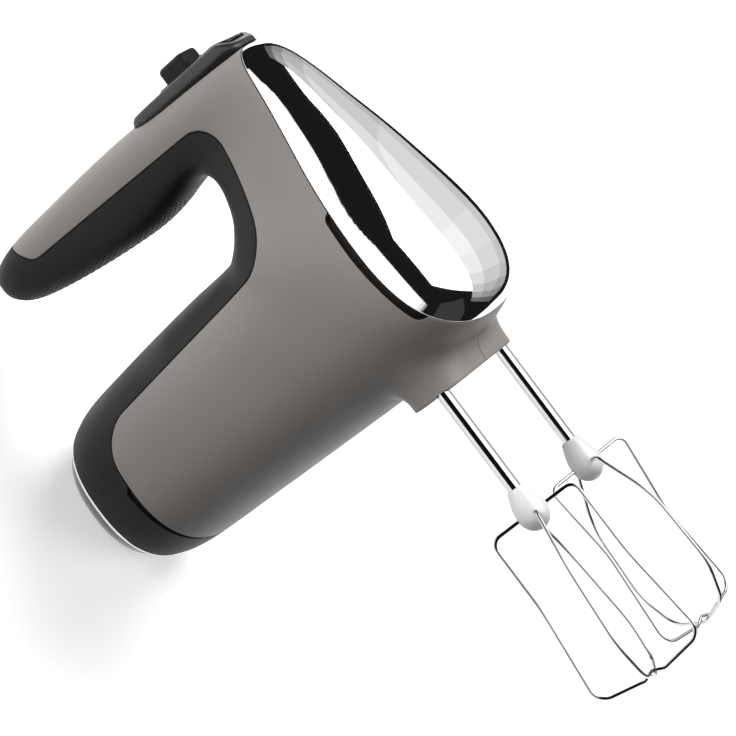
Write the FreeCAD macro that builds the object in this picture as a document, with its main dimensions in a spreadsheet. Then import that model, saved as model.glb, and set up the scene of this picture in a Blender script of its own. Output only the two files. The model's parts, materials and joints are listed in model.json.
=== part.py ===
import FreeCAD, Part
import math
import os

# Hand mixer, parked upright on its heel. Millimetres.
# +Z runs from the heel to the nose, +X runs from the handle to the beater tips, -Y is the mixer's right side.
# The origin is the middle of the heel's flat rest face.
# In the helpers, "ahead" is the distance from the plane of the two spindles towards the nose.

V = FreeCAD.Vector
AXIS_X = V(1, 0, 0)
AXIS_Y = V(0, 1, 0)
AXIS_Z = V(0, 0, 1)

doc = FreeCAD.newDocument("hand_mixer")
sheet = doc.addObject("Spreadsheet::Sheet", "Sizes")

SIZES = {
    # housing
    "spindle_plane": 186.0,
    "wall": 2.4,
    "groove_depth": 1.0,
    "groove_width": 0.7,
    "roundness": 2.4,
    # heel
    "heel_offset": 18.75,
    "trim_ahead": -170.8,
    "trim_width": 1.6,
    # collar below the housing
    "collar_front": 8.6,
    "collar_back": 18.5,
    "collar_half_width": 28.4,
    "collar_corner": 12.0,
    "collar_tip": 25.0,
    "collar_flare": 2.2,
    # drive train
    "beater_spacing": 47.0,
    "drive_line": -22.0,
    "wheel_teeth": 26.0,
    "wheel_pitch_radius": 15.6,
    "wheel_face": 7.0,
    "worm_pitch_radius": 7.9,
    "worm_starts": 2.0,
    "worm_length": 22.0,
    "spindle_radius": 5.0,
    "spindle_top": -41.0,
    "spindle_foot": 12.0,
    "mouth_radius": 4.3,
    "socket_radius": 3.05,
    "bush_radius": 7.0,
    "bush_length": 4.0,
    "running_gap": 0.05,
    # motor
    "shaft_radius": 2.5,
    "core_radius": 14.0,
    "core_length": 32.0,
    "core_ahead": -70.0,
    "air_gap": 0.6,
    "stator_height": 58.0,
    "stator_width": 50.0,
    "fan_radius": 22.0,
    "commutator_radius": 7.5,
    "commutator_length": 11.0,
    "bearing_radius": 6.5,
    "bearing_length": 5.0,
    # beaters
    "beater_shaft_radius": 3.0,
    "beater_top": -8.0,
    "hub_top": 69.5,
    "hub_foot": 88.2,
    "hub_radius": 6.6,
    "wire_radius": 0.8,
    "loop_top": 80.5,
    "loop_foot": 157.8,
    "loop_twist": 20.0,
    # controls
    "fascia_half_width": 12.5,
    "fascia_top": -133.4,
    "slider_length": 14.6,
    "slider_half_width": 6.0,
    "slider_travel": 16.0,
    "button_length": 20.0,
    "button_half_width": 7.0,
    "ejector_travel": 5.0,
    "rod_radius": 2.2,
    # cord inlet
    "gland_radius": 7.0,
    "gland_bore": 3.6,
    "gland_length": 12.0,
    "screw_radius": 1.6,
}
for row, (alias, value) in enumerate(SIZES.items(), start=1):
    sheet.set("A%d" % row, alias)
    sheet.set("B%d" % row, str(value))
    sheet.setAlias("B%d" % row, alias)
doc.recompute()


def size(alias):
    """Read one driving dimension from the sheet."""
    return float(sheet.get(alias))


PLANE = size("spindle_plane")
HEEL_OFFSET = size("heel_offset")
SPACING = size("beater_spacing")
DRIVE = size("drive_line")
WALL = size("wall")
SIDES = {"right": -1, "left": 1}
PIECES = {}


def spot(x, y, ahead):
    """A point given by its distance below the body's centre line and ahead of the spindle plane."""
    return V(x + HEEL_OFFSET, y, PLANE + ahead)


def turn_to(direction):
    """The rotation that lays a Z-built piece along a direction."""
    return FreeCAD.Rotation(AXIS_Z, direction)


def place(piece, base, direction=AXIS_Z):
    piece.Placement = FreeCAD.Placement(base, turn_to(direction))
    return piece


def bind(piece, **expressions):
    """Bind properties to expressions over the sheet's aliases."""
    for name, expression in expressions.items():
        piece.setExpression(name, expression)
    return piece


def rod(name, radius, length, base, direction=AXIS_Z):
    """A round bar from its base point along a direction."""
    piece = doc.addObject("Part::Cylinder", name)
    bind(piece, Radius=radius, Height=length)
    return place(piece, base, direction)


def block(name, length, width, height, corner):
    """A rectangular block from its lowest corner, along X, Y and Z."""
    piece = doc.addObject("Part::Box", name)
    bind(piece, Length=length, Width=width, Height=height)
    return place(piece, corner)


def cut(name, base, *tools):
    """Take tools away from a base piece."""
    tool = tools[0] if len(tools) == 1 else fuse(name + "_tools", *tools)
    piece = doc.addObject("Part::Cut", name)
    piece.Base = base
    piece.Tool = tool
    return piece


def fuse(name, *parts):
    piece = doc.addObject("Part::MultiFuse", name)
    piece.Shapes = list(parts)
    return piece


def common(name, *parts):
    piece = doc.addObject("Part::MultiCommon", name)
    piece.Shapes = list(parts)
    return piece


def tube(name, outer, inner, length, base, direction=AXIS_Z):
    """A ring or sleeve: one round bar with another taken out of it."""
    body = rod(name + "_outside", outer, length, base, direction)
    hole = rod(name + "_bore", inner, length, base, direction)
    return cut(name, body, hole)


def free_shape(name, shape):
    """A piece whose surface only the Part functions can make."""
    piece = doc.addObject("Part::Feature", name)
    piece.Shape = shape
    return piece


def node(label, piece):
    """Register a finished sub-part under the name of its node."""
    piece.Label = label
    PIECES[label] = piece
    return piece


# ---------------------------------------------------------------- outlines

def rounded_path(points, radii):
    """Straight runs joined by tangent arcs, one radius for each inner point."""
    edges = []
    start = points[0]
    for before, corner, after, radius in zip(points, points[1:], points[2:], radii):
        inward = (before - corner).normalize()
        outward = (after - corner).normalize()
        half_turn = inward.getAngle(outward) / 2
        reach = radius / math.tan(half_turn)
        middle = (inward + outward).normalize()
        centre = corner + middle * (radius / math.sin(half_turn))
        arc_start = corner + inward * reach
        arc_end = corner + outward * reach
        arc_middle = centre - middle * radius
        edges.append(Part.LineSegment(start, arc_start).toShape())
        edges.append(Part.Arc(arc_start, arc_middle, arc_end).toShape())
        start = arc_end
    edges.append(Part.LineSegment(start, points[-1]).toShape())
    return edges


def side_prism(edges, close_points, half_width=80.0):
    """The block whose outline in the side view is a path closed by straight runs."""
    path = Part.Wire(edges)
    ends = [path.OrderedVertexes[-1].Point] + close_points + [path.OrderedVertexes[0].Point]
    runs = [Part.LineSegment(a, b).toShape() for a, b in zip(ends, ends[1:])]
    face = Part.Face(Part.Wire(path.Edges + runs))
    face.translate(V(0, -half_width, 0))
    return face.extrude(V(0, 2 * half_width, 0))


# ---------------------------------------------------------------- housing surface

# The housing bends in a C round the hand opening. Each section is cut from the opening to the outside.
# (outside ahead, outside x, inside ahead, inside x, half width)
HANDLE = [
    (-164.6, -120.5, -164.6, -114.0, 4.0),
    (-163.4, -123.5, -163.4, -111.3, 7.5),
    (-160.0, -126.0, -160.0, -108.3, 10.8),
    (-154.0, -128.0, -154.0, -105.3, 13.2),
    (-144.0, -129.6, -144.0, -102.6, 14.9),
    (-118.0, -130.9, -118.0, -98.4, 16.4),
    (-92.0, -131.7, -92.0, -95.6, 17.2),
    (-72.0, -131.9, -72.0, -95.2, 17.6),
]
COLUMN = [
    (-54.0, -131.4, -55.0, -97.6, 17.8),
    (-32.0, -130.6, -47.0, -98.6, 18.0),
    (-8.0, -129.6, -41.5, -96.9, 18.2),
    (10.5, -125.6, -39.4, -92.6, 18.8),
    (20.6, -111.0, -39.0, -87.5, 21.0),
    (26.0, -92.0, -39.3, -82.5, 24.8),
    (30.6, -73.0, -40.2, -77.5, 29.4),
    (34.2, -52.0, -42.0, -73.2, 35.2),
    (37.2, -30.0, -44.8, -69.8, 40.4),
    (37.6, -12.0, -48.4, -67.4, 43.0),
    (31.5, 6.6, -53.0, -65.8, 44.0),
]
LOWER_BODY = [
    (17.0, 14.2, -58.5, -65.1, 44.0),
    (-3.0, 17.6, -65.0, -64.7, 43.8),
    (-28.0, 18.5, -73.0, -64.4, 43.3),
    (-58.0, 18.6, -84.0, -63.9, 42.8),
    (-90.0, 18.6, -100.0, -62.7, 42.0),
    (-122.0, 18.5, -122.0, -60.9, 40.8),
    (-146.0, 18.4, -146.0, -58.6, 39.3),
    (-160.0, 17.6, -160.0, -56.8, 37.4),
    (-170.0, 15.2, -170.0, -53.8, 34.4),
    (-177.0, 11.6, -177.0, -49.8, 30.8),
    (-182.0, 7.0, -182.0, -44.9, 26.4),
    (-185.0, 2.0, -185.0, -39.6, 21.8),
    (-186.0, -2.0, -186.0, -35.5, 18.0),
]
SECTION_POINTS = 16


def section_points(station, inset, side):
    """Half a superellipse from the outside point to the inside point, drawn in by an inset."""
    outside = spot(station[1], 0, station[0])
    inside = spot(station[3], 0, station[2])
    middle = (outside + inside) * 0.5
    reach = outside - middle
    along = V(reach).normalize()
    half_height = reach.Length - inset
    half_width = station[4] - inset
    power = 2 / size("roundness")
    points = []
    for step in range(SECTION_POINTS + 1):
        angle = math.pi * step / SECTION_POINTS
        rise = math.copysign(abs(math.cos(angle)) ** power, math.cos(angle))
        spread = side * math.sin(angle) ** power if 0 < step < SECTION_POINTS else 0.0
        points.append(middle + along * (half_height * rise) + AXIS_Y * (half_width * spread))
    return points


def c_form(inset):
    """The whole C-shaped form, drawn in by an inset from the outer surface."""
    stations = HANDLE + COLUMN + LOWER_BODY
    if inset > 0:
        stations = [s for s in HANDLE if s[4] > inset + 9] + COLUMN + [s for s in LOWER_BODY if s[0] > -183]
    surfaces = []
    for side in SIDES.values():
        surface = Part.BSplineSurface()
        surface.interpolate([section_points(station, inset, side) for station in stations])
        surfaces.append(surface)
    faces = [surface.toShape() for surface in surfaces]
    first, last = surfaces[0].bounds()[:2]
    for end in (first, last):
        rims = [surface.uIso(end).toShape() for surface in surfaces]
        faces.append(Part.Face(Part.Wire(rims)))
    skin = Part.makeCompound(faces)
    skin.sewShape()
    solid = Part.makeSolid(Part.makeShell(skin.Faces))
    if solid.Volume < 0:
        solid.reverse()
    return solid


# the collar's upper sections: (distance below the centre line, share of the full flare)
COLLAR_SECTIONS = [(2.0, 1.5), (12.0, 1.5), (18.5, 0.7)]
COLLAR_RIM = 1.0
# how far the collar's front and back faces move for each millimetre its sides flare out
FRONT_FLARE = 1.6
BACK_FLARE = 0.7


def collar_wire(x, grow):
    """A rounded rectangle round both spindles, square to them."""
    front = size("collar_front") + grow * FRONT_FLARE
    back = size("collar_back") + grow * BACK_FLARE
    half = size("collar_half_width") + grow
    radius = size("collar_corner") + grow
    corners = [spot(x, -half, front), spot(x, half, front), spot(x, half, -back), spot(x, -half, -back)]
    middle = spot(x, 0, front)
    closed = [middle] + corners[1:] + corners[:1] + [middle]
    return Part.Wire(rounded_path(closed, [radius] * 4))


def collar_form(inset):
    """The collar, flaring out towards the housing, or the hollow inside it."""
    sections = [collar_wire(x, share * size("collar_flare") - inset) for x, share in COLLAR_SECTIONS]
    sections.append(collar_wire(size("collar_tip") - inset, -inset))
    form = Part.makeLoft(sections, True, True)
    if inset > 0:
        return form
    edges = [e for e in form.Edges if abs(e.BoundBox.XMin - e.BoundBox.XMax) < 0.01
             and e.BoundBox.XMin > spot(size("collar_tip"), 0, 0).x - 0.1]
    return form.makeFillet(COLLAR_RIM, edges)


outer_form = free_shape("outer_form", c_form(0.0))
groove_form = free_shape("groove_form", c_form(size("groove_depth")))
cavity_form = free_shape("cavity_form", c_form(WALL))
collar_outside = free_shape("collar_outside", collar_form(0.0))
collar_hollow = free_shape("collar_hollow", collar_form(WALL))
skin_form = fuse("skin_form", outer_form, collar_outside)

# joint between the painted housing and the black liner, in the side view
JOINT_POINTS = [(-152, -136), (-132.5, -116.2), (-16.5, -113), (-17, -55.8), (-142.5, -43.6), (-147, 30)]
JOINT_RADII = [9.0, 13.0, 17.0, 20.0]


def joint_prism(shift):
    """Everything on the liner's side of the joint, with the joint moved back by a shift."""
    corners = [spot(x, 0, ahead) for ahead, x in JOINT_POINTS]
    moved = []
    for index, corner in enumerate(corners):
        before = corners[max(index - 1, 0)]
        after = corners[min(index + 1, len(corners) - 1)]
        run_in = (corner - before) if index else (after - corner)
        run_out = (after - corner) if index < len(corners) - 1 else (corner - before)
        normal_in = V(run_in.z, 0, -run_in.x).normalize()
        normal_out = V(run_out.z, 0, -run_out.x).normalize()
        bisector = (normal_in + normal_out).normalize()
        moved.append(corner + bisector * (shift / bisector.dot(normal_in)))
    radii = [radius - shift for radius in JOINT_RADII]
    return side_prism(rounded_path(moved, radii), [spot(30, 0, -200), spot(-136, 0, -200)])


def nose_prism(shift):
    """Everything ahead of the nose cap's edge, with the edge moved back by a shift."""
    edge = [(8.0, -132.0), (10.5, -113.0), (13.0, -72.0), (17.3, -38.0), (21.0, -8.0), (27.0, 15.5)]
    curve = Part.BSplineCurve()
    curve.interpolate([spot(x, 0, ahead - shift) for ahead, x in edge])
    return side_prism([curve.toShape()], [spot(15.5, 0, 60), spot(-132, 0, 60)])


def heel_slab(name, start, length):
    """A slice across the heel."""
    return block(name, "200", "120", length, V(-100, -60, PLANE + start))


groove_width = size("groove_width")
liner_zone = free_shape("liner_zone", joint_prism(0.0))
liner_back = free_shape("liner_back", joint_prism(groove_width))
nose_zone = free_shape("nose_zone", nose_prism(0.0))
nose_back = free_shape("nose_back", nose_prism(groove_width))

# ---------------------------------------------------------------- openings in the housing


def plan_prism(back, front, half_width, corner, low, high):
    """A rounded rectangle seen from above the handle, as a block between two levels."""
    corners = [spot(low, -half_width, front), spot(low, half_width, front),
               spot(low, half_width, back), spot(low, -half_width, back)]
    middle = spot(low, 0, front)
    closed = [middle] + corners[1:] + corners[:1] + [middle]
    face = Part.Face(Part.Wire(rounded_path(closed, [corner] * 4)))
    return face.extrude(AXIS_X * (high - low))


def vent_prism():
    """A rounded slot beside the nose cap, through both sides."""
    outline = [spot(-30, 0, 30), spot(-55, 0, 30), spot(-55, 0, 12.4), spot(-1.8, 0, 18.8), spot(-1.8, 0, 30)]
    return side_prism(rounded_path(outline, [1.0, 2.4, 3.4]), [])


BUTTON_BACK = -14.6
BUTTON_FRONT = BUTTON_BACK + size("button_length")
BUTTON_PLAY = 0.35
STEM_AHEAD = -24.0
ROD_AHEAD = -4.0
button_half = size("button_half_width")

button_well = free_shape("button_well", plan_prism(
    BUTTON_BACK - BUTTON_PLAY, BUTTON_FRONT + BUTTON_PLAY, button_half + BUTTON_PLAY, 3.0, -140.0, -118.0))
stem_slot = block("stem_slot", "20", "4", "Sizes.slider_travel + 5",
                  spot(-138, -2, STEM_AHEAD - size("slider_travel") - 2.5))
spindle_holes = [
    rod("spindle_hole_" + name, "Sizes.spindle_radius + 0.7", "Sizes.spindle_foot + 1",
        spot(0, side * SPACING / 2, 0), AXIS_X)
    for name, side in SIDES.items()
]
mouths = [
    rod("mouth_" + name, "Sizes.mouth_radius", "40", spot(0, side * SPACING / 2, 0), AXIS_X)
    for name, side in SIDES.items()
]
GLAND_X = -14.0
GLAND_AHEAD = -128.0
gland_hole = rod("gland_hole", "Sizes.gland_radius", "30", spot(GLAND_X, 25, GLAND_AHEAD), AXIS_Y)
vent_zone = free_shape("vent_zone", vent_prism())
vent_field = cut("vent_field", vent_zone, nose_zone)

shell = cut("shell", skin_form, cavity_form, collar_hollow, button_well, stem_slot, gland_hole,
            *(spindle_holes + mouths))
painted = cut("painted", shell, liner_zone, nose_zone, vent_field)
nose_strip = cut("nose_strip", nose_back, nose_zone)
nose_groove = cut("nose_groove", nose_strip, groove_form)
right_space = block("right_space", "400", "100", "400", V(-200, -100, -50))
left_space = block("left_space", "400", "100", "400", V(-200, 0, -50))
SPACES = {"right": right_space, "left": left_space}

# screw bosses, (ahead, x)
BOSSES = [(-14.0, -99.0), (8.0, -64.0), (-26.5, 9.0), (-128.0, 7.0), (-118.0, -34.0)]
HEAD_LEVEL = 12.0


def boss_rods(name, radius, length, start_y):
    """One round bar at every screw, across the mixer."""
    return [rod("%s_%d" % (name, index), radius, length, spot(x, start_y, ahead), AXIS_Y)
            for index, (ahead, x) in enumerate(BOSSES)]


post_fields = fuse("boss_posts", *boss_rods("boss_post", "Sizes.screw_radius + 2.2", "96", -48))
posts_inside = common("posts_inside", post_fields, skin_form)
pilot_holes = boss_rods("pilot", "Sizes.screw_radius", "22", -10)
head_wells = boss_rods("head_well", "Sizes.screw_radius + 1.7", "60", HEAD_LEVEL)
for name in SIDES:
    walls = common("housing_walls_" + name, painted, SPACES[name])
    posts = common("housing_posts_" + name, posts_inside, SPACES[name])
    half = fuse("housing_half_" + name, walls, posts)
    holes = pilot_holes if name == "right" else pilot_holes + head_wells
    node("housing_" + name, cut("housing_cut_" + name, half, nose_groove, *holes))
    insert = common("vent_insert_body_" + name, cut("vent_walls_" + name, groove_form, cavity_form),
                    vent_field, SPACES[name])
    node("vent_insert_" + name, insert)

screws = []
for index, (ahead, x) in enumerate(BOSSES):
    head = rod("screw_head_%d" % index, "Sizes.screw_radius + 1.4", "2.2", spot(x, HEAD_LEVEL, ahead), AXIS_Y)
    recess = rod("screw_recess_%d" % index, "0.9", "1.2", spot(x, HEAD_LEVEL + 1.2, ahead), AXIS_Y)
    shank = rod("screw_shank_%d" % index, "Sizes.screw_radius", "21", spot(x, HEAD_LEVEL - 21, ahead), AXIS_Y)
    screws.append(fuse("screw_%d" % index, cut("screw_top_%d" % index, head, recess), shank))
screw_group = doc.addObject("Part::Compound", "screw_group")
screw_group.Links = screws
node("housing_screws", screw_group)

node("nose_cap", common("nose_body", shell, nose_zone))

# black liner, heel trim and heel cap
liner_edge = cut("liner_edge", liner_zone, liner_back)
HEEL_SLOT_WIDTH = 3.2
heel_slot_back = free_shape("heel_slot_back", joint_prism(HEEL_SLOT_WIDTH))
heel_slot_edge = cut("heel_slot_edge", liner_zone, heel_slot_back)
heel_slot_span = block("heel_slot_span", "33", "120", "60", spot(-19, -60, -190))
heel_slot = common("heel_slot", heel_slot_edge, heel_slot_span)
liner_groove = cut("liner_groove", fuse("liner_cuts", liner_edge, heel_slot), groove_form)
TRIM = size("trim_ahead")
behind_trim = heel_slab("behind_trim", -200.0, "200 + Sizes.trim_ahead")
trim_slice = heel_slab("trim_slice", TRIM, "Sizes.trim_width")
dark_shell = common("dark_shell", shell, liner_zone)
node("grip_liner", cut("liner_body", dark_shell, behind_trim, trim_slice, liner_groove))
node("heel_trim", common("trim_body", dark_shell, trim_slice))
node("heel_cap", common("heel_body", dark_shell, behind_trim))

# cord inlet on the left side
gland_start = spot(GLAND_X, 33.0, GLAND_AHEAD)
gland_sleeve = rod("gland_sleeve", "Sizes.gland_radius", "Sizes.gland_length", gland_start, AXIS_Y)
gland_flange = rod("gland_flange", "Sizes.gland_radius + 1.6", "1.8", gland_start, AXIS_Y)
gland_bore = rod("gland_hollow", "Sizes.gland_bore", "Sizes.gland_length", gland_start, AXIS_Y)
node("cord_gland", cut("gland_body", fuse("gland_outside", gland_sleeve, gland_flange), gland_bore))

# ---------------------------------------------------------------- controls

FASCIA_TOP = size("fascia_top")
fascia_outline = [spot(-120, 0, -57), spot(-130.6, 0, -57), spot(FASCIA_TOP, 0, -51.5), spot(FASCIA_TOP, 0, 2.5),
                  spot(-128, 0, 8.6), spot(-120, 0, 8.6)]
fascia_side = side_prism(rounded_path(fascia_outline, [1.0, 3.0, 5.0, 3.0]), [], size("fascia_half_width"))
fascia_plan = plan_prism(-57.5, 8.4, size("fascia_half_width"), 8.0, -136.0, -120.0)
fascia_form = free_shape("fascia_form", fascia_side.common(fascia_plan))
node("control_fascia", cut("fascia_body", fascia_form, outer_form, button_well, stem_slot))

SLIDER_BACK = -31.6
SLIDER_FRONT = SLIDER_BACK + size("slider_length")
KNOB_TOP = -141.2
KNOB_ROOT = FASCIA_TOP - 0.5
slider_foot = free_shape("slider_foot", plan_prism(-35.0, -15.2, 8.0, 2.5, FASCIA_TOP - 0.9, FASCIA_TOP - 0.1))
knob_outline = [spot(KNOB_ROOT, 0, SLIDER_BACK), spot(KNOB_TOP, 0, SLIDER_BACK),
                spot(KNOB_TOP, 0, SLIDER_FRONT), spot(KNOB_ROOT, 0, SLIDER_FRONT)]
knob_side = side_prism(rounded_path(knob_outline, [2.4, 2.4]), [], size("slider_half_width"))
knob_rims = [e for e in knob_side.Edges if e.BoundBox.YLength < 0.01 and e.BoundBox.XMin < spot(-136, 0, 0).x]
slider_knob = free_shape("slider_knob", knob_side.makeFillet(1.2, knob_rims))
slider_stem = block("slider_stem", "11.5", "2.4", "3", spot(KNOB_ROOT, -1.2, STEM_AHEAD - 1.5))
node("speed_slider", fuse("slider_body", slider_foot, slider_knob, slider_stem))

button_cap = plan_prism(BUTTON_BACK, BUTTON_FRONT, button_half, 2.65, -134.4, -131.4)
arch_outline = [spot(-125, 0, BUTTON_BACK - 1), spot(-134.1, 0, BUTTON_BACK - 1), spot(-134.5, 0, 1.5),
                spot(-132.4, 0, 12), spot(-125, 0, 12)]
button_arch = side_prism(rounded_path(arch_outline, [0.5, 6.0, 2.0]), [])
button_top = free_shape("button_top", button_cap.common(button_arch))
push_rod = rod("push_rod", "Sizes.rod_radius", "79.5", spot(-132, 0, ROD_AHEAD), AXIS_X)
node("eject_button", button_top)
ROD_FOOT = -52.5
node("ejector_rod", cut("rod_body", push_rod, free_shape("rod_socket", button_cap.copy())))
plate = block("ejector_bar", "3", "2 * 27", "10", spot(ROD_FOOT, -27, -6))
pins = [
    rod("ejector_pin_" + name, "2.5", "Sizes.beater_top + 44.2", spot(ROD_FOOT + 3, side * SPACING / 2, 0), AXIS_X)
    for name, side in SIDES.items()
]
node("ejector_plate", fuse("ejector_body", plate, *pins))

SPRING_TOP = -127.0
SPRING_FOOT = -112.0
SPRING_TURNS = 6


def coil_spring(radius, wire, start, length, turns, direction):
    """A round wire wound on a helix."""
    helix = Part.makeHelix(length / turns, length, radius)
    ring = Part.Wire(Part.Circle(V(radius, 0, 0), AXIS_Y, wire).toShape())
    coil = Part.Wire(helix.Edges).makePipeShell([ring], True, True)
    coil.Placement = FreeCAD.Placement(start, turn_to(direction))
    return coil


spring = coil_spring(3.6, 0.45, spot(SPRING_TOP + 0.5, 0, ROD_AHEAD), SPRING_FOOT - SPRING_TOP - 1.0,
                     SPRING_TURNS, AXIS_X)
node("ejector_spring", free_shape("spring_body", spring))
guide = block("guide_bar", "2.5", "2 * 13.4", "8", spot(SPRING_FOOT, -13.4, ROD_AHEAD - 4))
guide_hole = rod("guide_hole", "Sizes.rod_radius + 0.1", "10", spot(SPRING_FOOT - 3, 0, ROD_AHEAD), AXIS_X)
node("rod_guide", cut("guide_body", guide, guide_hole))

switch_case = block("switch_case", "10", "14", "26", spot(-121.2, -7, -44))
switch_track = block("switch_track", "2", "3.4", "22", spot(-121.2, -1.7, -42))
node("speed_switch", cut("switch_body", switch_case, switch_track))

board = block("board_plate", "1.6", "22", "50", spot(-110, -11, -108))
board_holes = [rod("board_hole_%d" % i, "1.5", "4", spot(-111, y, ahead), AXIS_X)
               for i, (y, ahead) in enumerate([(-8, -105), (8, -105), (-8, -61), (8, -61)])]
node("circuit_board", cut("board_body", board, *board_holes))
capacitor = block("capacitor", "9", "6", "13", spot(-119, -8, -90))
choke = rod("choke", "4", "12", spot(-114, 5, -100))
chip = block("power_switch", "4", "9", "8", spot(-114, -4, -72))
components = doc.addObject("Part::Compound", "component_group")
components.Links = [capacitor, choke, chip]
node("board_components", components)

# ---------------------------------------------------------------- gear drive

MODULE = 2 * size("wheel_pitch_radius") / size("wheel_teeth")
ADDENDUM = 0.9
DEDENDUM = 1.15
FLANK = math.tan(math.radians(20))
LEAD = math.pi * MODULE * size("worm_starts")
TOOTH_THICKNESS = 0.64 * MODULE * math.pi / 2
THREAD_THICKNESS = 0.74 * MODULE * math.pi / 2


def worm_wheel_shape(side):
    """A slanted-tooth wheel round a spindle, with one tooth pointing at the worm."""
    radius = size("wheel_pitch_radius")
    face = size("wheel_face")
    teeth = int(size("wheel_teeth"))
    lead_slope = LEAD / (2 * math.pi * size("worm_pitch_radius"))
    twist = math.degrees(lead_slope * face / 2 / radius)
    root = radius - DEDENDUM
    tip = radius + ADDENDUM
    root_half = TOOTH_THICKNESS / 2 + DEDENDUM * FLANK
    tip_half = TOOTH_THICKNESS / 2 - ADDENDUM * FLANK
    outline = [V(root - 0.6, -root_half, 0), V(tip, -tip_half, 0), V(tip, tip_half, 0), V(root - 0.6, root_half, 0)]
    outline.append(outline[0])
    low = Part.makePolygon(outline)
    high = low.copy()
    low.rotate(V(), AXIS_Z, -twist)
    high.rotate(V(), AXIS_Z, twist)
    high.translate(V(0, 0, face))
    tooth = Part.makeLoft([low, high], True, True)
    solid = Part.makeCylinder(root, face)
    ring = []
    for index in range(teeth):
        copy = tooth.copy()
        copy.rotate(V(), AXIS_Z, 360 / teeth * index)
        ring.append(copy)
    solid = solid.fuse(ring)
    for index in range(6):
        window = Part.makeCylinder(2.2, face, V(9.6, 0, 0))
        window.rotate(V(), AXIS_Z, 60 * index + 30)
        solid = solid.cut(window)
    solid = solid.cut(Part.makeCylinder(size("spindle_radius"), face))
    solid.translate(V(0, 0, -face / 2))
    towards_worm = FreeCAD.Placement(V(), FreeCAD.Rotation(AXIS_Z, AXIS_X))
    solid.Placement = towards_worm.multiply(solid.Placement)
    aim = AXIS_Y * -side
    pointing = solid.Placement.Rotation.multVec(V(1, 0, 0))
    angle = math.degrees(math.atan2(AXIS_X.dot(pointing.cross(aim)), pointing.dot(aim)))
    solid.rotate(V(), AXIS_X, angle)
    solid.translate(spot(DRIVE, side * SPACING / 2, 0))
    return solid


def worm_shape():
    """A two-start worm on the drive line."""
    radius = size("worm_pitch_radius")
    length = size("worm_length")
    root = radius - DEDENDUM
    tip = radius + ADDENDUM
    root_half = THREAD_THICKNESS / 2 + (DEDENDUM + 0.5) * FLANK
    tip_half = THREAD_THICKNESS / 2 - ADDENDUM * FLANK
    pitch = LEAD / size("worm_starts")
    start = -3 * pitch
    helix = Part.makeHelix(LEAD, 6 * pitch, root - 0.5)
    profile = Part.makePolygon([V(root - 0.5, 0, -root_half), V(tip, 0, -tip_half), V(tip, 0, tip_half),
                                V(root - 0.5, 0, root_half), V(root - 0.5, 0, -root_half)])
    thread = Part.Wire(helix.Edges).makePipeShell([profile], True, True)
    solid = Part.makeCylinder(root, length, V(0, 0, -length / 2))
    trim = Part.makeCylinder(tip + 1, length - 1.0, V(0, 0, -length / 2 + 0.5))
    for index in range(int(size("worm_starts"))):
        copy = thread.copy()
        copy.translate(V(0, 0, start))
        copy.rotate(V(), AXIS_Z, 360 / size("worm_starts") * index)
        solid = solid.fuse(copy.common(trim))
    solid = solid.cut(Part.makeCylinder(size("shaft_radius"), length, V(0, 0, -length / 2)))
    solid.translate(spot(DRIVE, 0, 0))
    return solid


for name, side in SIDES.items():
    node("worm_wheel_" + name, free_shape("wheel_" + name, worm_wheel_shape(side)))
    foot = spot(size("spindle_top"), side * SPACING / 2, 0)
    sleeve = tube("spindle_sleeve_" + name, "Sizes.spindle_radius", "Sizes.socket_radius",
                  "Sizes.spindle_foot - Sizes.spindle_top", foot, AXIS_X)
    slot = block("drive_slot_" + name, "8", "2", "20", spot(5, side * SPACING / 2 - 1, -10))
    node("spindle_" + name, cut("spindle_body_" + name, sleeve, slot))
node("worm", free_shape("worm_body", worm_shape()))

CARRIER_BACK = -21.0
CARRIER_FRONT = 19.0
UPPER_PLATE = -39.0
LOWER_PLATE = -9.0
carrier_depth = str(CARRIER_FRONT - CARRIER_BACK)
plates = [
    block("upper_plate", "Sizes.bush_length", "2 * 28.5", carrier_depth, spot(UPPER_PLATE, -28.5, CARRIER_BACK)),
    block("lower_plate", "Sizes.bush_length", "2 * 31", carrier_depth, spot(LOWER_PLATE, -31, CARRIER_BACK)),
    block("front_wall", "31", "22", "Sizes.bearing_length", spot(-37, -11, CARRIER_FRONT - 5)),
    block("rear_wall", "31", "22", "3", spot(-37, -11, CARRIER_BACK)),
]
seats = [
    rod("bush_seat_" + name, "Sizes.bush_radius", "40", spot(UPPER_PLATE - 1, side * SPACING / 2, 0), AXIS_X)
    for name, side in SIDES.items()
]
front_seat = rod("front_seat", "Sizes.bearing_radius", "8", spot(DRIVE, 0, CARRIER_FRONT - 6))
rear_pass = rod("rear_pass", "Sizes.worm_pitch_radius + 1.6", "8", spot(DRIVE, 0, CARRIER_BACK - 2))
node("gear_carrier", cut("carrier_body", fuse("carrier_walls", *plates), front_seat, rear_pass, *seats))

bushes = []
for name, side in SIDES.items():
    for level, x in (("upper", UPPER_PLATE), ("lower", LOWER_PLATE)):
        bushes.append(tube("bush_%s_%s" % (level, name), "Sizes.bush_radius",
                           "Sizes.spindle_radius + Sizes.running_gap", "Sizes.bush_length",
                           spot(x, side * SPACING / 2, 0), AXIS_X))
bush_group = doc.addObject("Part::Compound", "bush_group")
bush_group.Links = bushes
node("spindle_bushes", bush_group)

# ---------------------------------------------------------------- motor

CORE_BACK = size("core_ahead")
CORE_FRONT = CORE_BACK + size("core_length")
BRACKET_BACK = -107.0


def on_drive_line(ahead, x_offset=0.0, y=0.0):
    return spot(DRIVE + x_offset, y, ahead)


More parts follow.
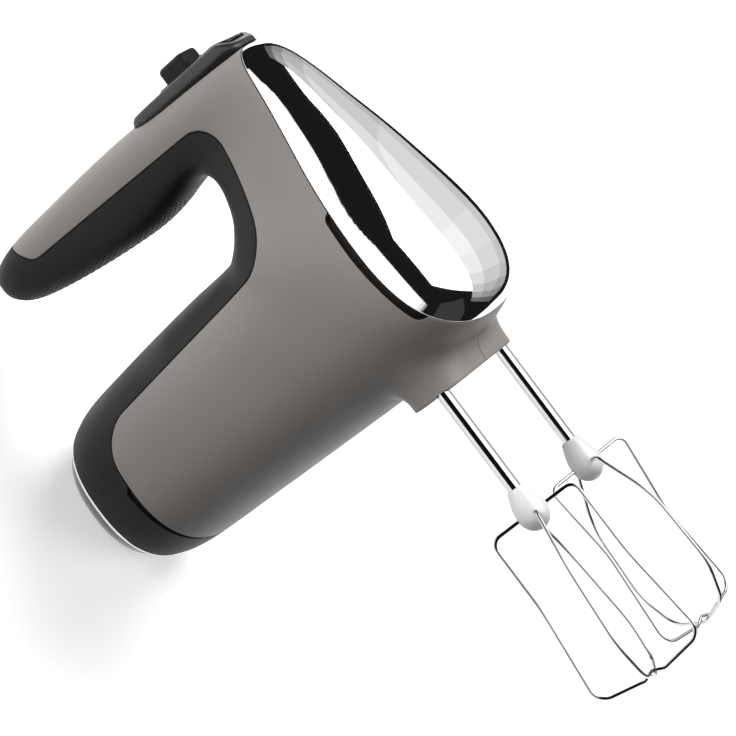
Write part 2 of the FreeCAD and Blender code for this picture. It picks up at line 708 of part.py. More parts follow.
node("armature_shaft", rod("armature_shaft_body", "Sizes.shaft_radius", "130", on_drive_line(-111)))
for name, start in (("front", CARRIER_FRONT - 5), ("rear", BRACKET_BACK)):
    node(name + "_bearing", tube(name + "_bearing_body", "Sizes.bearing_radius",
                                 "Sizes.shaft_radius + Sizes.running_gap", "Sizes.bearing_length",
                                 on_drive_line(start)))

core = tube("core_blank", "Sizes.core_radius", "Sizes.shaft_radius", "Sizes.core_length", on_drive_line(CORE_BACK))
SLOT_COUNT = 12
slots = []
for index in range(SLOT_COUNT):
    angle = 2 * math.pi * index / SLOT_COUNT
    base = on_drive_line(CORE_BACK, 12.6 * math.cos(angle), 12.6 * math.sin(angle))
    slots.append(rod("core_slot_%d" % index, "1.2", "Sizes.core_length", base))
node("armature_core", cut("core_body", core, *slots))
turns = [
    tube("end_turn_" + name, "Sizes.core_radius - 2", "Sizes.shaft_radius + 1.5", "5.5", on_drive_line(start))
    for name, start in (("front", CORE_FRONT), ("rear", CORE_BACK - 5.5))
]
winding = doc.addObject("Part::Compound", "winding_group")
winding.Links = turns
node("armature_winding", winding)

COMMUTATOR_BACK = -92.0
commutator = tube("commutator_blank", "Sizes.commutator_radius", "Sizes.shaft_radius", "Sizes.commutator_length",
                  on_drive_line(COMMUTATOR_BACK))
bars = []
for index in range(SLOT_COUNT):
    angle = 360 / SLOT_COUNT * index
    groove = block("bar_groove_%d" % index, "1.5", "0.5", "20", V())
    turn = FreeCAD.Rotation(AXIS_Z, angle)
    corner = on_drive_line(COMMUTATOR_BACK - 2) + turn.multVec(V(size("commutator_radius") - 0.8, -0.25, 0))
    groove.Placement = FreeCAD.Placement(corner, turn)
    bars.append(groove)
node("commutator", cut("commutator_body", commutator, *bars))

FAN_BACK = -31.0
fan_disc = rod("fan_disc", "Sizes.fan_radius", "1.4", on_drive_line(FAN_BACK))
fan_hub = rod("fan_hub", "6.5", "7", on_drive_line(FAN_BACK))
BLADE_COUNT = 10
blades = []
for index in range(BLADE_COUNT):
    blade = block("fan_blade_%d" % index, "Sizes.fan_radius - 7", "1.2", "6.5", V())
    turn = FreeCAD.Rotation(AXIS_Z, 360 / BLADE_COUNT * index)
    blade.Placement = FreeCAD.Placement(on_drive_line(FAN_BACK) + turn.multVec(V(6.2, 1.5, 0)), turn)
    blades.append(blade)
fan = fuse("fan_blank", fan_disc, fan_hub, *blades)
fan_bore = rod("fan_bore", "Sizes.shaft_radius", "20", on_drive_line(FAN_BACK - 5))
node("cooling_fan", cut("fan_body", fan, fan_bore))

stator = block("stator_blank", "Sizes.stator_height", "Sizes.stator_width", "Sizes.core_length",
               on_drive_line(CORE_BACK, -size("stator_height") / 2, -size("stator_width") / 2))
stator_bore = rod("stator_bore", "Sizes.core_radius + Sizes.air_gap", "Sizes.core_length", on_drive_line(CORE_BACK))
COIL_INSIDE = 17.4
COIL_HEIGHT = 6.0
COIL_PLAY = 0.3
coil_slots = []
coils = []
for name, sign in (("upper", -1), ("lower", 1)):
    base_x = COIL_INSIDE if sign > 0 else -COIL_INSIDE - COIL_HEIGHT
    for side_name, side in SIDES.items():
        corner_y = 9.0 if side > 0 else -14.6
        coil_slots.append(block("coil_slot_%s_%s" % (name, side_name), str(COIL_HEIGHT + 2 * COIL_PLAY), "5.6",
                                "Sizes.core_length", on_drive_line(CORE_BACK, base_x - COIL_PLAY, corner_y)))
    whole = block("coil_outside_" + name, str(COIL_HEIGHT), "2 * 14.3", "Sizes.core_length + 10",
                  on_drive_line(CORE_BACK - 5, base_x, -14.3))
    eye = block("coil_eye_" + name, str(COIL_HEIGHT), "2 * 9.3", "Sizes.core_length + 0.4",
                on_drive_line(CORE_BACK - 0.2, base_x, -9.3))
    coils.append(cut("coil_" + name, whole, eye))
coil_group = doc.addObject("Part::Compound", "coil_group")
coil_group.Links = coils
node("field_coils", coil_group)

SCREW_Y = 21.5
screw_holes = [
    rod("motor_screw_hole_" + name, "1.5", "44", on_drive_line(BRACKET_BACK, 0, side * SCREW_Y))
    for name, side in SIDES.items()
]
node("stator_core", cut("stator_body", stator, stator_bore, *(coil_slots + screw_holes)))
bracket_plate = block("bracket_plate", "34", "49", "Sizes.bearing_length", on_drive_line(BRACKET_BACK, -17, -24.5))
arms = [
    block("bracket_arm_" + name, "12", "5.5", str(CORE_BACK - BRACKET_BACK),
          on_drive_line(BRACKET_BACK, -6, 19 if side > 0 else -24.5))
    for name, side in SIDES.items()
]
rear_seat = rod("rear_seat", "Sizes.bearing_radius", "10", on_drive_line(BRACKET_BACK - 2))
node("rear_bracket", cut("bracket_body", fuse("bracket_walls", bracket_plate, *arms), rear_seat, *screw_holes))

motor_screws = []
holders = []
brushes = []
springs = []
for name, side in SIDES.items():
    shank = rod("motor_shank_" + name, "1.5", "44", on_drive_line(BRACKET_BACK, 0, side * SCREW_Y))
    head = rod("motor_head_" + name, "2.8", "2", on_drive_line(BRACKET_BACK - 2, 0, side * SCREW_Y))
    motor_screws.append(fuse("motor_screw_" + name, shank, head))
    start = 9.0 if side > 0 else -19.0
    case = block("holder_case_" + name, "8", "10", "9", on_drive_line(-91, -4, start))
    pocket = block("holder_pocket_" + name, "5.2", "10", "6.2", on_drive_line(-89.6, -2.6, start))
    holders.append(cut("brush_holder_" + name, case, pocket))
    start = 7.6 if side > 0 else -14.6
    brushes.append(block("brush_" + name, "5", "7", "6", on_drive_line(-89.5, -2.5, start)))
    springs.append(free_shape("brush_spring_" + name, coil_spring(
        1.8, 0.3, on_drive_line(-86.5, 0, side * 14.9), 3.6, 3, AXIS_Y * side)))
for label, links in (("motor_screws", motor_screws), ("brush_holders", holders), ("carbon_brushes", brushes),
                     ("brush_springs", springs)):
    group = doc.addObject("Part::Compound", label + "_group")
    group.Links = links
    node(label, group)

# ---------------------------------------------------------------- beaters

LOOP_TOP = size("loop_top")
LOOP_FOOT = size("loop_foot")
WIRE = size("wire_radius")
# half of each loop from the hub outwards and down to the crossing: (distance from the axis, x), corner radius
WIDE_LOOP = [((2.2, LOOP_TOP), 0), ((19.6, LOOP_TOP), 4.0), ((20.0, 113.0), 60.0),
             ((24.4, LOOP_FOOT - 3.6), 6.5), ((4.6, LOOP_FOOT - 0.4), 3.0)]
SLIM_LOOP = [((2.2, LOOP_TOP), 0), ((10.4, LOOP_TOP), 3.0), ((21.6, 104.0), 34.0), ((20.6, 138.0), 34.0),
             ((14.4, LOOP_FOOT - 4.2), 9.0)]


def loop_shape(half, middle, side, phase):
    """A wire loop: out of the hub, down one side, across the axis and back up the other side."""
    axis = spot(0, side * SPACING / 2, 0)

    def placed(radius, x, half_turn):
        share = min(max((x - LOOP_TOP) / 40, 0), 1)
        bend = size("loop_twist") * share * share * (3 - 2 * share)
        angle = math.radians(phase + side * bend + half_turn)
        return axis + V(x, radius * math.sin(angle), radius * math.cos(angle))

    corners = [placed(radius, x, 0) for (radius, x), bend in half]
    corners.append(placed(0.0, middle[0], 0))
    corners += [placed(radius, x, 180) for (radius, x), bend in reversed(half)]
    radii = [bend for point, bend in half[1:]]
    path = Part.Wire(rounded_path(corners, radii + [middle[1]] + radii[::-1]))
    start = (corners[1] - corners[0]).normalize()
    ring = Part.Wire(Part.Circle(corners[0], start, WIRE).toShape())
    return path.makePipeShell([ring], True, False)


def hub_shape(side):
    """An egg-shaped hub with a flat top."""
    top = size("hub_top")
    foot = size("hub_foot")
    widest = top + 0.58 * (foot - top)
    radius = size("hub_radius")
    curve = Part.BSplineCurve()
    curve.interpolate([V(top, 0, 3.7), V(top + 4, 0, 5.0), V(widest, 0, radius), V(foot - 3.2, 0, 4.9),
                       V(foot, 0, 0.0)], InitialTangent=V(1.0, 0, 0.5), FinalTangent=V(0.05, 0, -1))
    runs = [Part.LineSegment(V(foot, 0, 0), V(top, 0, 0)).toShape(),
            Part.LineSegment(V(top, 0, 0), V(top, 0, 3.7)).toShape()]
    profile = Part.Face(Part.Wire([curve.toShape()] + runs))
    egg = profile.revolve(V(), AXIS_X, 360)
    egg.translate(spot(0, side * SPACING / 2, 0))
    return egg


# the direction of each wide loop at the hub, turned about X from the nose towards the left side
LOOP_PHASES = {"right": 44.0, "left": 61.0}
for name, side in SIDES.items():
    phase = LOOP_PHASES[name]
    axis_y = side * SPACING / 2
    wide = free_shape("wide_loop_" + name, loop_shape(WIDE_LOOP, (LOOP_FOOT - 2.4, 3.0), side, phase))
    slim = free_shape("slim_loop_" + name, loop_shape(SLIM_LOOP, (LOOP_FOOT + 0.6, 6.0), side, phase + 90))
    node("beater_wire_wide_" + name, wide)
    node("beater_wire_slim_" + name, slim)
    stem = rod("beater_stem_" + name, "Sizes.beater_shaft_radius", "Sizes.hub_top + 3 - Sizes.beater_top",
               spot(size("beater_top"), axis_y, 0), AXIS_X)
    ears = block("drive_ears_" + name, "5", "1.6", "2 * 3.9", spot(6, axis_y - 0.8, -3.9))
    shaft = fuse("beater_shaft_body_" + name, stem, ears)
    node("beater_shaft_" + name, shaft)
    hub = free_shape("hub_egg_" + name, hub_shape(side))
    node("beater_hub_" + name, cut("hub_body_" + name, hub, stem, wide, slim))

doc.recompute()

# ---------------------------------------------------------------- checks and files

failed = [o.Name for o in doc.Objects if "Invalid" in o.State or "Error" in o.State]
if failed:
    raise RuntimeError("objects failed: %s" % failed)
for label, piece in PIECES.items():
    if piece.Shape.isNull() or not piece.Shape.isValid():
        raise RuntimeError("%s has no valid shape" % label)
    if not piece.Shape.Solids:
        raise RuntimeError("%s has no solid" % label)

os.makedirs("parts", exist_ok=True)
for label, piece in PIECES.items():
    piece.Shape.exportStep("parts/%s.step" % label)
print("nodes:", len(PIECES))
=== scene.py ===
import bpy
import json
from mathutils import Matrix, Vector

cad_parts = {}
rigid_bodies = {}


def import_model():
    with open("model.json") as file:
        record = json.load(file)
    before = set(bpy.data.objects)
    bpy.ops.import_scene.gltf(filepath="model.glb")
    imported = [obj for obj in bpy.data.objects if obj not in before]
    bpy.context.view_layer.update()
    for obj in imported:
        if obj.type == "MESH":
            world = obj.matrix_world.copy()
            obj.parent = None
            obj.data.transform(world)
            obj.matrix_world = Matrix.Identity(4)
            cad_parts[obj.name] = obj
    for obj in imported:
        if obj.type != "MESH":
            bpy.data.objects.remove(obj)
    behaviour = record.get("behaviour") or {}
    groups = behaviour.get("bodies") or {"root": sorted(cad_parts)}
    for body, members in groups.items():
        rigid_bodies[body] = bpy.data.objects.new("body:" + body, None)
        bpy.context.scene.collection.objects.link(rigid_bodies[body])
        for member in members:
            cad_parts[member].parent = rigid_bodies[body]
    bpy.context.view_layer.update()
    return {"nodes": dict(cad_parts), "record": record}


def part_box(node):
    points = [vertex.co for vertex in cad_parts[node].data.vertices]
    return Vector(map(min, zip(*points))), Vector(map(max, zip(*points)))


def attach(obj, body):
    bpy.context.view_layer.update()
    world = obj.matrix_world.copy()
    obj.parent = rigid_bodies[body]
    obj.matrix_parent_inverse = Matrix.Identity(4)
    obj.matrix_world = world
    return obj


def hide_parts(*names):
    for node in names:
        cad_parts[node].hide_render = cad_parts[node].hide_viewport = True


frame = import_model()

import json
import logging
import math
from dataclasses import dataclass, field, replace
from enum import Enum
from typing import Callable, Sequence

import bpy
import numpy as np
from mathutils import Matrix, Vector

logging.basicConfig(level=logging.INFO, format="%(message)s")
log = logging.getLogger("hand_mixer")

# Metres. +Z runs from the heel to the nose, +X from the handle to the beater tips, -Y is the mixer's right
# side. "Ahead" is the distance from the plane of the two beater shafts towards the nose, and "below" is the
# distance from the body's centre line towards the beaters. Tables of both are in millimetres, as on a
# drawing.

MM = 0.001
SHAFT_BOXES = {name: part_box("beater_shaft_" + name) for name in ("right", "left")}
PLANE = 0.5 * (SHAFT_BOXES["right"][0][2] + SHAFT_BOXES["right"][1][2])
SPREAD = 0.5 * (SHAFT_BOXES["left"][0][1] + SHAFT_BOXES["left"][1][1])
CENTRE_LINE = SHAFT_BOXES["right"][0][0] + 8.0 * MM


class Side(Enum):
    """The mixer's two sides, with the sign of their Y."""

    RIGHT = -1
    LEFT = 1

    @property
    def label(self) -> str:
        """The side's name as it stands in the names of the nodes."""
        return self.name.lower()


def at(ahead: float, below: float, y: float = 0.0) -> np.ndarray:
    """A point of the frame, in metres, from its distances ahead, below and sideways in millimetres."""
    return np.array([CENTRE_LINE + below * MM, y * MM, PLANE + ahead * MM])


def unit(vectors: np.ndarray) -> np.ndarray:
    """Vectors divided by their lengths, along the last axis."""
    length = np.linalg.norm(vectors, axis=-1, keepdims=True)
    return vectors / np.maximum(length, 1e-12)


def ease(low: float, high: float, values: np.ndarray) -> np.ndarray:
    """A smooth step: nought below low, one above high, and 3t^2 - 2t^3 between them."""
    share = np.clip((values - low) / (high - low), 0.0, 1.0)
    return share * share * (3.0 - 2.0 * share)


def spline(knots: np.ndarray, values: np.ndarray, where: np.ndarray) -> np.ndarray:
    """A natural cubic spline: cubics with equal slope and bend at each knot, and no bend at the ends.

    Args:
        knots: The rising parameter of each given row.
        values: One row of numbers for each knot.
        where: The parameters to read the curve at.

    Returns:
        One row for each parameter asked for.
    """
    count = len(knots)
    gaps = np.diff(knots)
    system = np.eye(count)
    rows = np.arange(1, count - 1)
    system[rows, rows - 1] = gaps[:-1]
    system[rows, rows] = 2.0 * (gaps[:-1] + gaps[1:])
    system[rows, rows + 1] = gaps[1:]
    slopes = np.diff(values, axis=0) / gaps[:, None]
    right = np.zeros_like(values)
    right[1:-1] = 6.0 * np.diff(slopes, axis=0)
    bends = np.linalg.solve(system, right)
    index = np.clip(np.searchsorted(knots, where) - 1, 0, count - 2)
    gap = gaps[index][:, None]
    before = (where - knots[index])[:, None]
    after = gap - before
    cubic = (bends[index] * after ** 3 + bends[index + 1] * before ** 3) / (6.0 * gap)
    line_a = (values[index] / gap - bends[index] * gap / 6.0) * after
    line_b = (values[index + 1] / gap - bends[index + 1] * gap / 6.0) * before
    return cubic + line_a + line_b


def rounded_run(corners: Sequence[Sequence[float]], radii: Sequence[float], step: float = 1.0) -> np.ndarray:
    """Straight runs joined by tangent arcs, as points no more than a step apart.

    Each inner corner is replaced by the arc that touches both runs: its centre lies on the corner's
    bisector at radius / sin(half the corner's angle).

    Args:
        corners: The corners of the run, in two or three dimensions.
        radii: One radius for each inner corner.
        step: The distance between points along the run.

    Returns:
        The points in order.
    """
    points = [np.asarray(c, dtype=float) for c in corners]
    run = [points[0]]
    for before, corner, after, radius in zip(points, points[1:], points[2:], radii):
        inward, outward = unit(before - corner), unit(after - corner)
        half = 0.5 * math.acos(float(np.clip(inward @ outward, -1.0, 1.0)))
        centre = corner + unit(inward + outward) * radius / math.sin(half)
        start = corner + inward * radius / math.tan(half)
        end = corner + outward * radius / math.tan(half)
        spoke_a, spoke_b = start - centre, end - centre
        turn = math.pi - 2.0 * half
        count = max(3, int(turn * radius / step) + 2)
        share = np.linspace(0.0, 1.0, count)[:, None]
        arc = (np.sin((1.0 - share) * turn) * spoke_a + np.sin(share * turn) * spoke_b) / math.sin(turn)
        run.extend(centre + arc)
    run.append(points[-1])
    return np.array(run)


def subdivided(run: np.ndarray, step: float) -> np.ndarray:
    """The same run of straight pieces, with extra points so that none is longer than the step."""
    lengths = np.linalg.norm(np.diff(run, axis=0), axis=1)
    counts = np.maximum(1, np.ceil(lengths / step)).astype(int)
    index = np.repeat(np.arange(len(lengths)), counts)
    inner = np.arange(len(index)) - np.repeat(np.cumsum(counts) - counts, counts)
    share = (inner / counts[index])[:, None]
    return np.vstack([run[index] * (1.0 - share) + run[index + 1] * share, run[-1:]])


# ---------------------------------------------------------------- lines drawn on the side view


@dataclass
class SideLine:
    """A line in the side view that splits the housing, with a signed distance to it."""

    path: np.ndarray
    inside: tuple[float, float]

    def distance(self, points: np.ndarray) -> tuple[np.ndarray, np.ndarray]:
        """Signed distance to the line in the side view, in metres, and its gradient in space.

        The nearest point of each straight piece is the point's projection, held between the piece's ends.
        The sign is that of the cross product with the piece, turned so that it is positive at the inside
        point.

        Args:
            points: Points of the frame.

        Returns:
            The distances, and the unit gradients in the XZ plane.
        """
        flat = np.stack([points[:, 2] - PLANE, points[:, 0] - CENTRE_LINE], axis=1)
        start, run = self.path[:-1] * MM, np.diff(self.path, axis=0) * MM
        span = (run * run).sum(axis=1)
        value = np.empty(len(flat))
        gradient = np.zeros((len(flat), 3))
        for low in range(0, len(flat), 8192):
            part = flat[low:low + 8192, None, :]
            share = np.clip(((part - start) * run).sum(axis=2) / span, 0.0, 1.0)
            away = part - (start + share[..., None] * run)
            nearest = (away ** 2).sum(axis=2).argmin(axis=1)
            pick = np.arange(len(nearest))
            away = away[pick, nearest]
            along = run[nearest]
            sign = np.sign(along[:, 0] * away[:, 1] - along[:, 1] * away[:, 0])
            size = np.linalg.norm(away, axis=1)
            value[low:low + 8192] = sign * size
            slope = unit(away) * sign[:, None]
            gradient[low:low + 8192, 2], gradient[low:low + 8192, 0] = slope[:, 0], slope[:, 1]
        return value, gradient

    def turned(self) -> "SideLine":
        """The same line, running the way round that makes the inside point's distance positive."""
        probe = at(*self.inside)[None, :]
        if self.distance(probe)[0][0] > 0.0:
            return self
        return replace(self, path=self.path[::-1])


PAINTED_POINT = (-60.0, -20.0)


def joint_line() -> SideLine:
    """The joint of paint and liner: round the heel, the hand opening and the handle's end."""
    corners = [(-152, -136), (-132.5, -116.2), (-16.5, -113), (-17, -55.8), (-142.5, -43.6), (-147, 30)]
    return SideLine(rounded_run(corners, [9.0, 13.0, 17.0, 20.0]), PAINTED_POINT).turned()


def nose_line() -> SideLine:
    """The edge of the nose cap: a spline through six points, run on straight past both ends."""
    edge = np.array([(8.0, -132.0), (10.5, -113.0), (13.0, -72.0), (17.3, -38.0), (21.0, -8.0), (27.0, 15.5)])
    knots = np.concatenate([[0.0], np.cumsum(np.linalg.norm(np.diff(edge, axis=0), axis=1))])
    curve = spline(knots, edge, np.linspace(0.0, knots[-1], 160))
    first = curve[0] + (curve[0] - curve[1]) * 20.0
    last = curve[-1] + (curve[-1] - curve[-2]) * 20.0
    return SideLine(np.vstack([first, curve, last]), PAINTED_POINT).turned()


def vent_line() -> SideLine:
    """The rounded outline of the recess beside the nose cap, open towards the nose."""
    corners = [(44.0, -55.0), (12.4, -55.0), (18.8, -1.8), (44.0, -1.8)]
    return SideLine(rounded_run(corners, [2.4, 3.4], 0.4), PAINTED_POINT).turned()


def outside_rectangle(points: np.ndarray, middle: float, reach: np.ndarray,
                      radius: float) -> tuple[np.ndarray, np.ndarray]:
    """Signed distance outside a rounded rectangle seen along X.

    With q the distance beyond the inner rectangle along each axis, it is
    |max(q, 0)| + min(max(q), 0) - radius.

    Args:
        points: Points of the frame.
        middle: The rectangle's middle along Z, in metres.
        reach: Half the inner rectangle's sizes along Y and Z, in millimetres.
        radius: The corners' radius, in millimetres.

    Returns:
        The distances in metres and their gradients.
    """
    flat = np.column_stack([points[:, 1], points[:, 2] - middle])
    over = np.abs(flat) - reach * MM
    out = np.maximum(over, 0.0)
    value = np.linalg.norm(out, axis=1) + np.minimum(over.max(axis=1), 0.0) - radius * MM
    slope = unit(out + 1e-9) * np.sign(flat)
    return value, np.column_stack([np.zeros(len(flat)), slope])


@dataclass(frozen=True)
class ButtonPlan:
    """The ejector button's outline on top of the handle, in millimetres: a rounded rectangle."""

    back: float = -14.6
    front: float = 5.4
    half: float = 7.0
    corner: float = 3.0
    top: float = -110.0

    def distance(self, points: np.ndarray, play: float) -> tuple[np.ndarray, np.ndarray]:
        """Signed distance outside the outline, seen along X, for points on top of the handle.

        Args:
            points: Points of the frame.
            play: How far the outline is let out, in millimetres.

        Returns:
            The distances in metres and their gradients.
        """
        middle = PLANE + 0.5 * (self.back + self.front) * MM
        reach = np.array([self.half, 0.5 * (self.front - self.back)]) - self.corner
        value, gradient = outside_rectangle(points, middle, reach, self.corner + play)
        return np.where(points[:, 0] < CENTRE_LINE + self.top * MM, value, 1.0), gradient


# ---------------------------------------------------------------- skins: triangle meshes with marks


LEAST_LEAN = 0.25
STEEPEST = 0.995
PLAIN_EDGE = 0.05 * MM


@dataclass
class Skin:
    """A triangle mesh that carries its exact normals and signed distances to the lines that split it.

    Each mark holds four numbers for each point: a distance measured along the surface, then its gradient in
    space.
    """

    points: np.ndarray
    normals: np.ndarray
    faces: np.ndarray
    marks: dict[str, np.ndarray] = field(default_factory=dict)
    roots: np.ndarray | None = None
    root_normals: np.ndarray | None = None

    def __post_init__(self) -> None:
        """Keep the untouched surface, from which the inner wall is measured."""
        if self.roots is None:
            self.roots, self.root_normals = self.points.copy(), self.normals.copy()

    def mark(self, name: str, value: np.ndarray, gradient: np.ndarray) -> None:
        """Store a distance, made longer where the surface leans away from its gradient.

        The gradient is laid into the surface by taking off its part along the normal, and the distance is
        divided by the length that is left, so that equal steps are equal on the surface.
        """
        lean = gradient - (gradient * self.normals).sum(axis=1, keepdims=True) * self.normals
        length = np.maximum(np.linalg.norm(lean, axis=1), LEAST_LEAN)
        self.marks[name] = np.column_stack([value / length, unit(lean)])

    def _columns(self) -> np.ndarray:
        """Every number that a point carries, side by side."""
        parts = [self.points, self.normals, self.roots, self.root_normals] + list(self.marks.values())
        return np.hstack(parts)

    def _rebuilt(self, columns: np.ndarray, faces: np.ndarray) -> "Skin":
        """A skin from the columns of _columns, with its normals brought back to length one."""
        marks = {name: columns[:, 12 + 4 * i:16 + 4 * i] for i, name in enumerate(self.marks)}
        normals, root_normals = unit(columns[:, 3:6]), unit(columns[:, 9:12])
        return Skin(columns[:, :3], normals, faces, marks, columns[:, 6:9], root_normals)

    def split(self, name: str, level: float) -> "Skin":
        """Cut every triangle that a mark's level line crosses, keeping both sides.

        A crossed edge gets a point where the mark, taken as straight along the edge, meets the level. A
        crossed triangle, turned so that its lone corner comes first, becomes one triangle at that corner
        and two beyond.

        Args:
            name: The mark that is followed.
            level: The value of the mark along the cut, in metres.

        Returns:
            The cut skin.
        """
        above = self.marks[name][:, 0] >= level
        state = above[self.faces]
        crossed = state.any(axis=1) & ~state.all(axis=1)
        if not crossed.any():
            return self
        turned = self.faces[crossed]
        state = state[crossed]
        lone = np.where(state.sum(axis=1) == 1, state.argmax(axis=1), (~state).argmax(axis=1))
        order = (lone[:, None] + np.arange(3)) % 3
        turned = np.take_along_axis(turned, order, axis=1)
        edges = np.sort(np.vstack([turned[:, [0, 1]], turned[:, [0, 2]]]), axis=1)
        single, which = np.unique(edges, axis=0, return_inverse=True)
        which = which.reshape(-1)
        ends = self.marks[name][single, 0]
        share = ((level - ends[:, 0]) / (ends[:, 1] - ends[:, 0]))[:, None]
        columns = self._columns()
        extra = columns[single[:, 0]] * (1.0 - share) + columns[single[:, 1]] * share
        base = len(columns)
        near, far = base + which[:len(turned)], base + which[len(turned):]
        made = np.vstack([
            np.column_stack([turned[:, 0], near, far]),
            np.column_stack([near, turned[:, 1], turned[:, 2]]),
            np.column_stack([near, turned[:, 2], far]),
        ])
        result = self._rebuilt(np.vstack([columns, extra]), np.vstack([self.faces[~crossed], made]))
        result.marks[name][base:, 0] = level
        return result

    def kept(self, wanted: np.ndarray) -> "Skin":
        """Only the wanted triangles and the points they use."""
        faces = self.faces[wanted]
        used, index = np.unique(faces, return_inverse=True)
        return self._rebuilt(self._columns()[used], index.reshape(faces.shape))

    def trimmed(self, name: str, level: float, radius: float, steps: int = 4) -> "Skin":
        """Keep the side where the mark is over the level, with a rounded edge along the cut.

        At a distance e from the cut, less than the radius, the surface drops along its normal by radius -
        sqrt(radius^2 - (radius - e)^2), a quarter circle, and its normal leans towards the cut by the arc
        sine of (radius - e) / radius.

        Args:
            name: The mark that is followed.
            level: The value at the cut.
            radius: The edge's radius.
            steps: How many rows of points round the edge has.

        Returns:
            The trimmed skin.
        """
        skin = self
        shares = 1.0 - np.cos(np.linspace(0.0, math.pi / 2.0, steps + 1))
        for share in shares:
            skin = skin.split(name, level + share * radius)
        middle = skin.marks[name][skin.faces, 0].mean(axis=1)
        skin = skin.kept(middle > level)
        depth = skin.marks[name][:, 0] - level
        lean = np.clip((radius - depth) / radius, 0.0, STEEPEST)[:, None]
        drop = radius - radius * np.sqrt(1.0 - lean ** 2)
        skin.points = skin.points - skin.root_normals * drop
        across = skin.marks[name][:, 1:4]
        across = unit(across - (across * skin.normals).sum(axis=1, keepdims=True) * skin.normals)
        skin.normals = unit(skin.normals * np.sqrt(1.0 - lean ** 2) - across * lean)
        return skin

    def closed(self, wall: float) -> "Skin":
        """The skin with an inner wall below the untouched surface and a strip round every rim."""
        count = len(self.points)
        sides = np.vstack([self.faces[:, [0, 1]], self.faces[:, [1, 2]], self.faces[:, [2, 0]]])
        key = np.sort(sides, axis=1)
        _, first, uses = np.unique(key, axis=0, return_index=True, return_counts=True)
        rim = sides[first[uses == 1]]
        inner = self.roots - self.root_normals * wall
        a, b = rim[:, 0], rim[:, 1]
        rim_points, back = np.unique(rim, return_inverse=True)
        back = back.reshape(rim.shape)
        lip = 2 * count
        foot = lip + len(rim_points)
        strip = np.vstack([
            np.column_stack([lip + back[:, 1], lip + back[:, 0], foot + back[:, 0]]),
            np.column_stack([lip + back[:, 1], foot + back[:, 0], foot + back[:, 1]]),
        ])
        run = unit(self.points[b] - self.points[a])
        side = unit(np.cross(run, self.root_normals[a]))
        rim_normals = np.zeros((len(rim_points), 3))
        np.add.at(rim_normals, back[:, 0], side)
        np.add.at(rim_normals, back[:, 1], side)
        rim_normals = unit(rim_normals)
        points = np.vstack([self.points, inner, self.points[rim_points], inner[rim_points]])
        normals = np.vstack([self.normals, -self.root_normals, rim_normals, rim_normals])
        faces = np.vstack([self.faces, self.faces[:, ::-1] + count, strip])
        return Skin(points, normals, faces)

    def cut(self, name: str, level: float = 0.0) -> "Skin":
        """Keep the side where the mark is over the level, with a plain edge."""
        return self.trimmed(name, level, PLAIN_EDGE, 1)

    def reversed(self) -> "Skin":
        """The unmarked skin turned inside out."""
        return Skin(self.points, -self.normals, self.faces[:, ::-1])

    def joined(self, other: "Skin") -> "Skin":
        """This skin and another as one mesh."""
        faces = np.vstack([self.faces, other.faces + len(self.points)])
        return Skin(np.vstack([self.points, other.points]), np.vstack([self.normals, other.normals]), faces)

    def shifted(self, depth: np.ndarray) -> "Skin":
        """The skin moved inwards along its normals, by one depth for each point."""
        points = self.points - self.normals * depth[:, None]
        return Skin(points, self.normals, self.faces, dict(self.marks), points.copy(), self.normals.copy())


def grid_skin(points: np.ndarray, wrap: bool,
              outward: Callable[[np.ndarray], np.ndarray] | None = None) -> Skin:
    """A skin from a grid of points.

    The normals are the cross products of the grid's two central differences. A row or column whose points
    coincide is a pole: it is made one point, with the mean of its normals.

    Args:
        points: A grid of shape (rows, columns, 3).
        wrap: True if the last column joins the first.
        outward: Gives a direction for each point that its normal should agree with, or None to keep the
        grid's own.

    Returns:
        The skin, without degenerate triangles.
    """
    rows, columns = points.shape[:2]
    down = np.gradient(points, axis=0)
    if wrap:
        around = np.roll(points, -1, axis=1) - np.roll(points, 1, axis=1)
    else:
        around = np.gradient(points, axis=1)
    normals = unit(np.cross(down, around))
    index = np.arange(rows * columns).reshape(rows, columns)
    for row in (0, rows - 1):
        if np.ptp(points[row], axis=0).max() < 1e-7:
            near = 1 if row == 0 else rows - 2
            normals[row] = unit(normals[near].mean(axis=0))
            index[row] = index[row, 0]
    ahead = np.roll(index, -1, axis=1) if wrap else index[:, 1:]
    here = index if wrap else index[:, :-1]
    a, b, c, d = here[:-1].ravel(), ahead[:-1].ravel(), ahead[1:].ravel(), here[1:].ravel()
    faces = np.vstack([np.column_stack([a, d, c]), np.column_stack([a, c, b])])
    whole = (faces[:, 0] != faces[:, 1]) & (faces[:, 1] != faces[:, 2]) & (faces[:, 0] != faces[:, 2])
    skin = Skin(points.reshape(-1, 3), normals.reshape(-1, 3), faces[whole])
    if outward is not None and (skin.normals * outward(skin.points)).sum() < 0.0:
        skin = skin.reversed()
    return skin.kept(np.ones(len(skin.faces), dtype=bool))


def revolved(profile: np.ndarray, centre: np.ndarray, count: int = 48) -> Skin:
    """A profile of (x, radius) turned about a line along X through a centre.

    The point at angle t is (x, r cos t, r sin t) from the centre.
    """
    angle = np.linspace(0.0, 2.0 * math.pi, count, endpoint=False)
    radius = profile[:, 1:2]
    points = np.stack([
        np.repeat(profile[:, :1], count, axis=1), radius * np.cos(angle), radius * np.sin(angle),
    ], axis=2) + centre
    middle = np.array([profile[:, 0].mean(), 0.0, 0.0]) + centre
    return grid_skin(points, True, lambda p: p - middle)


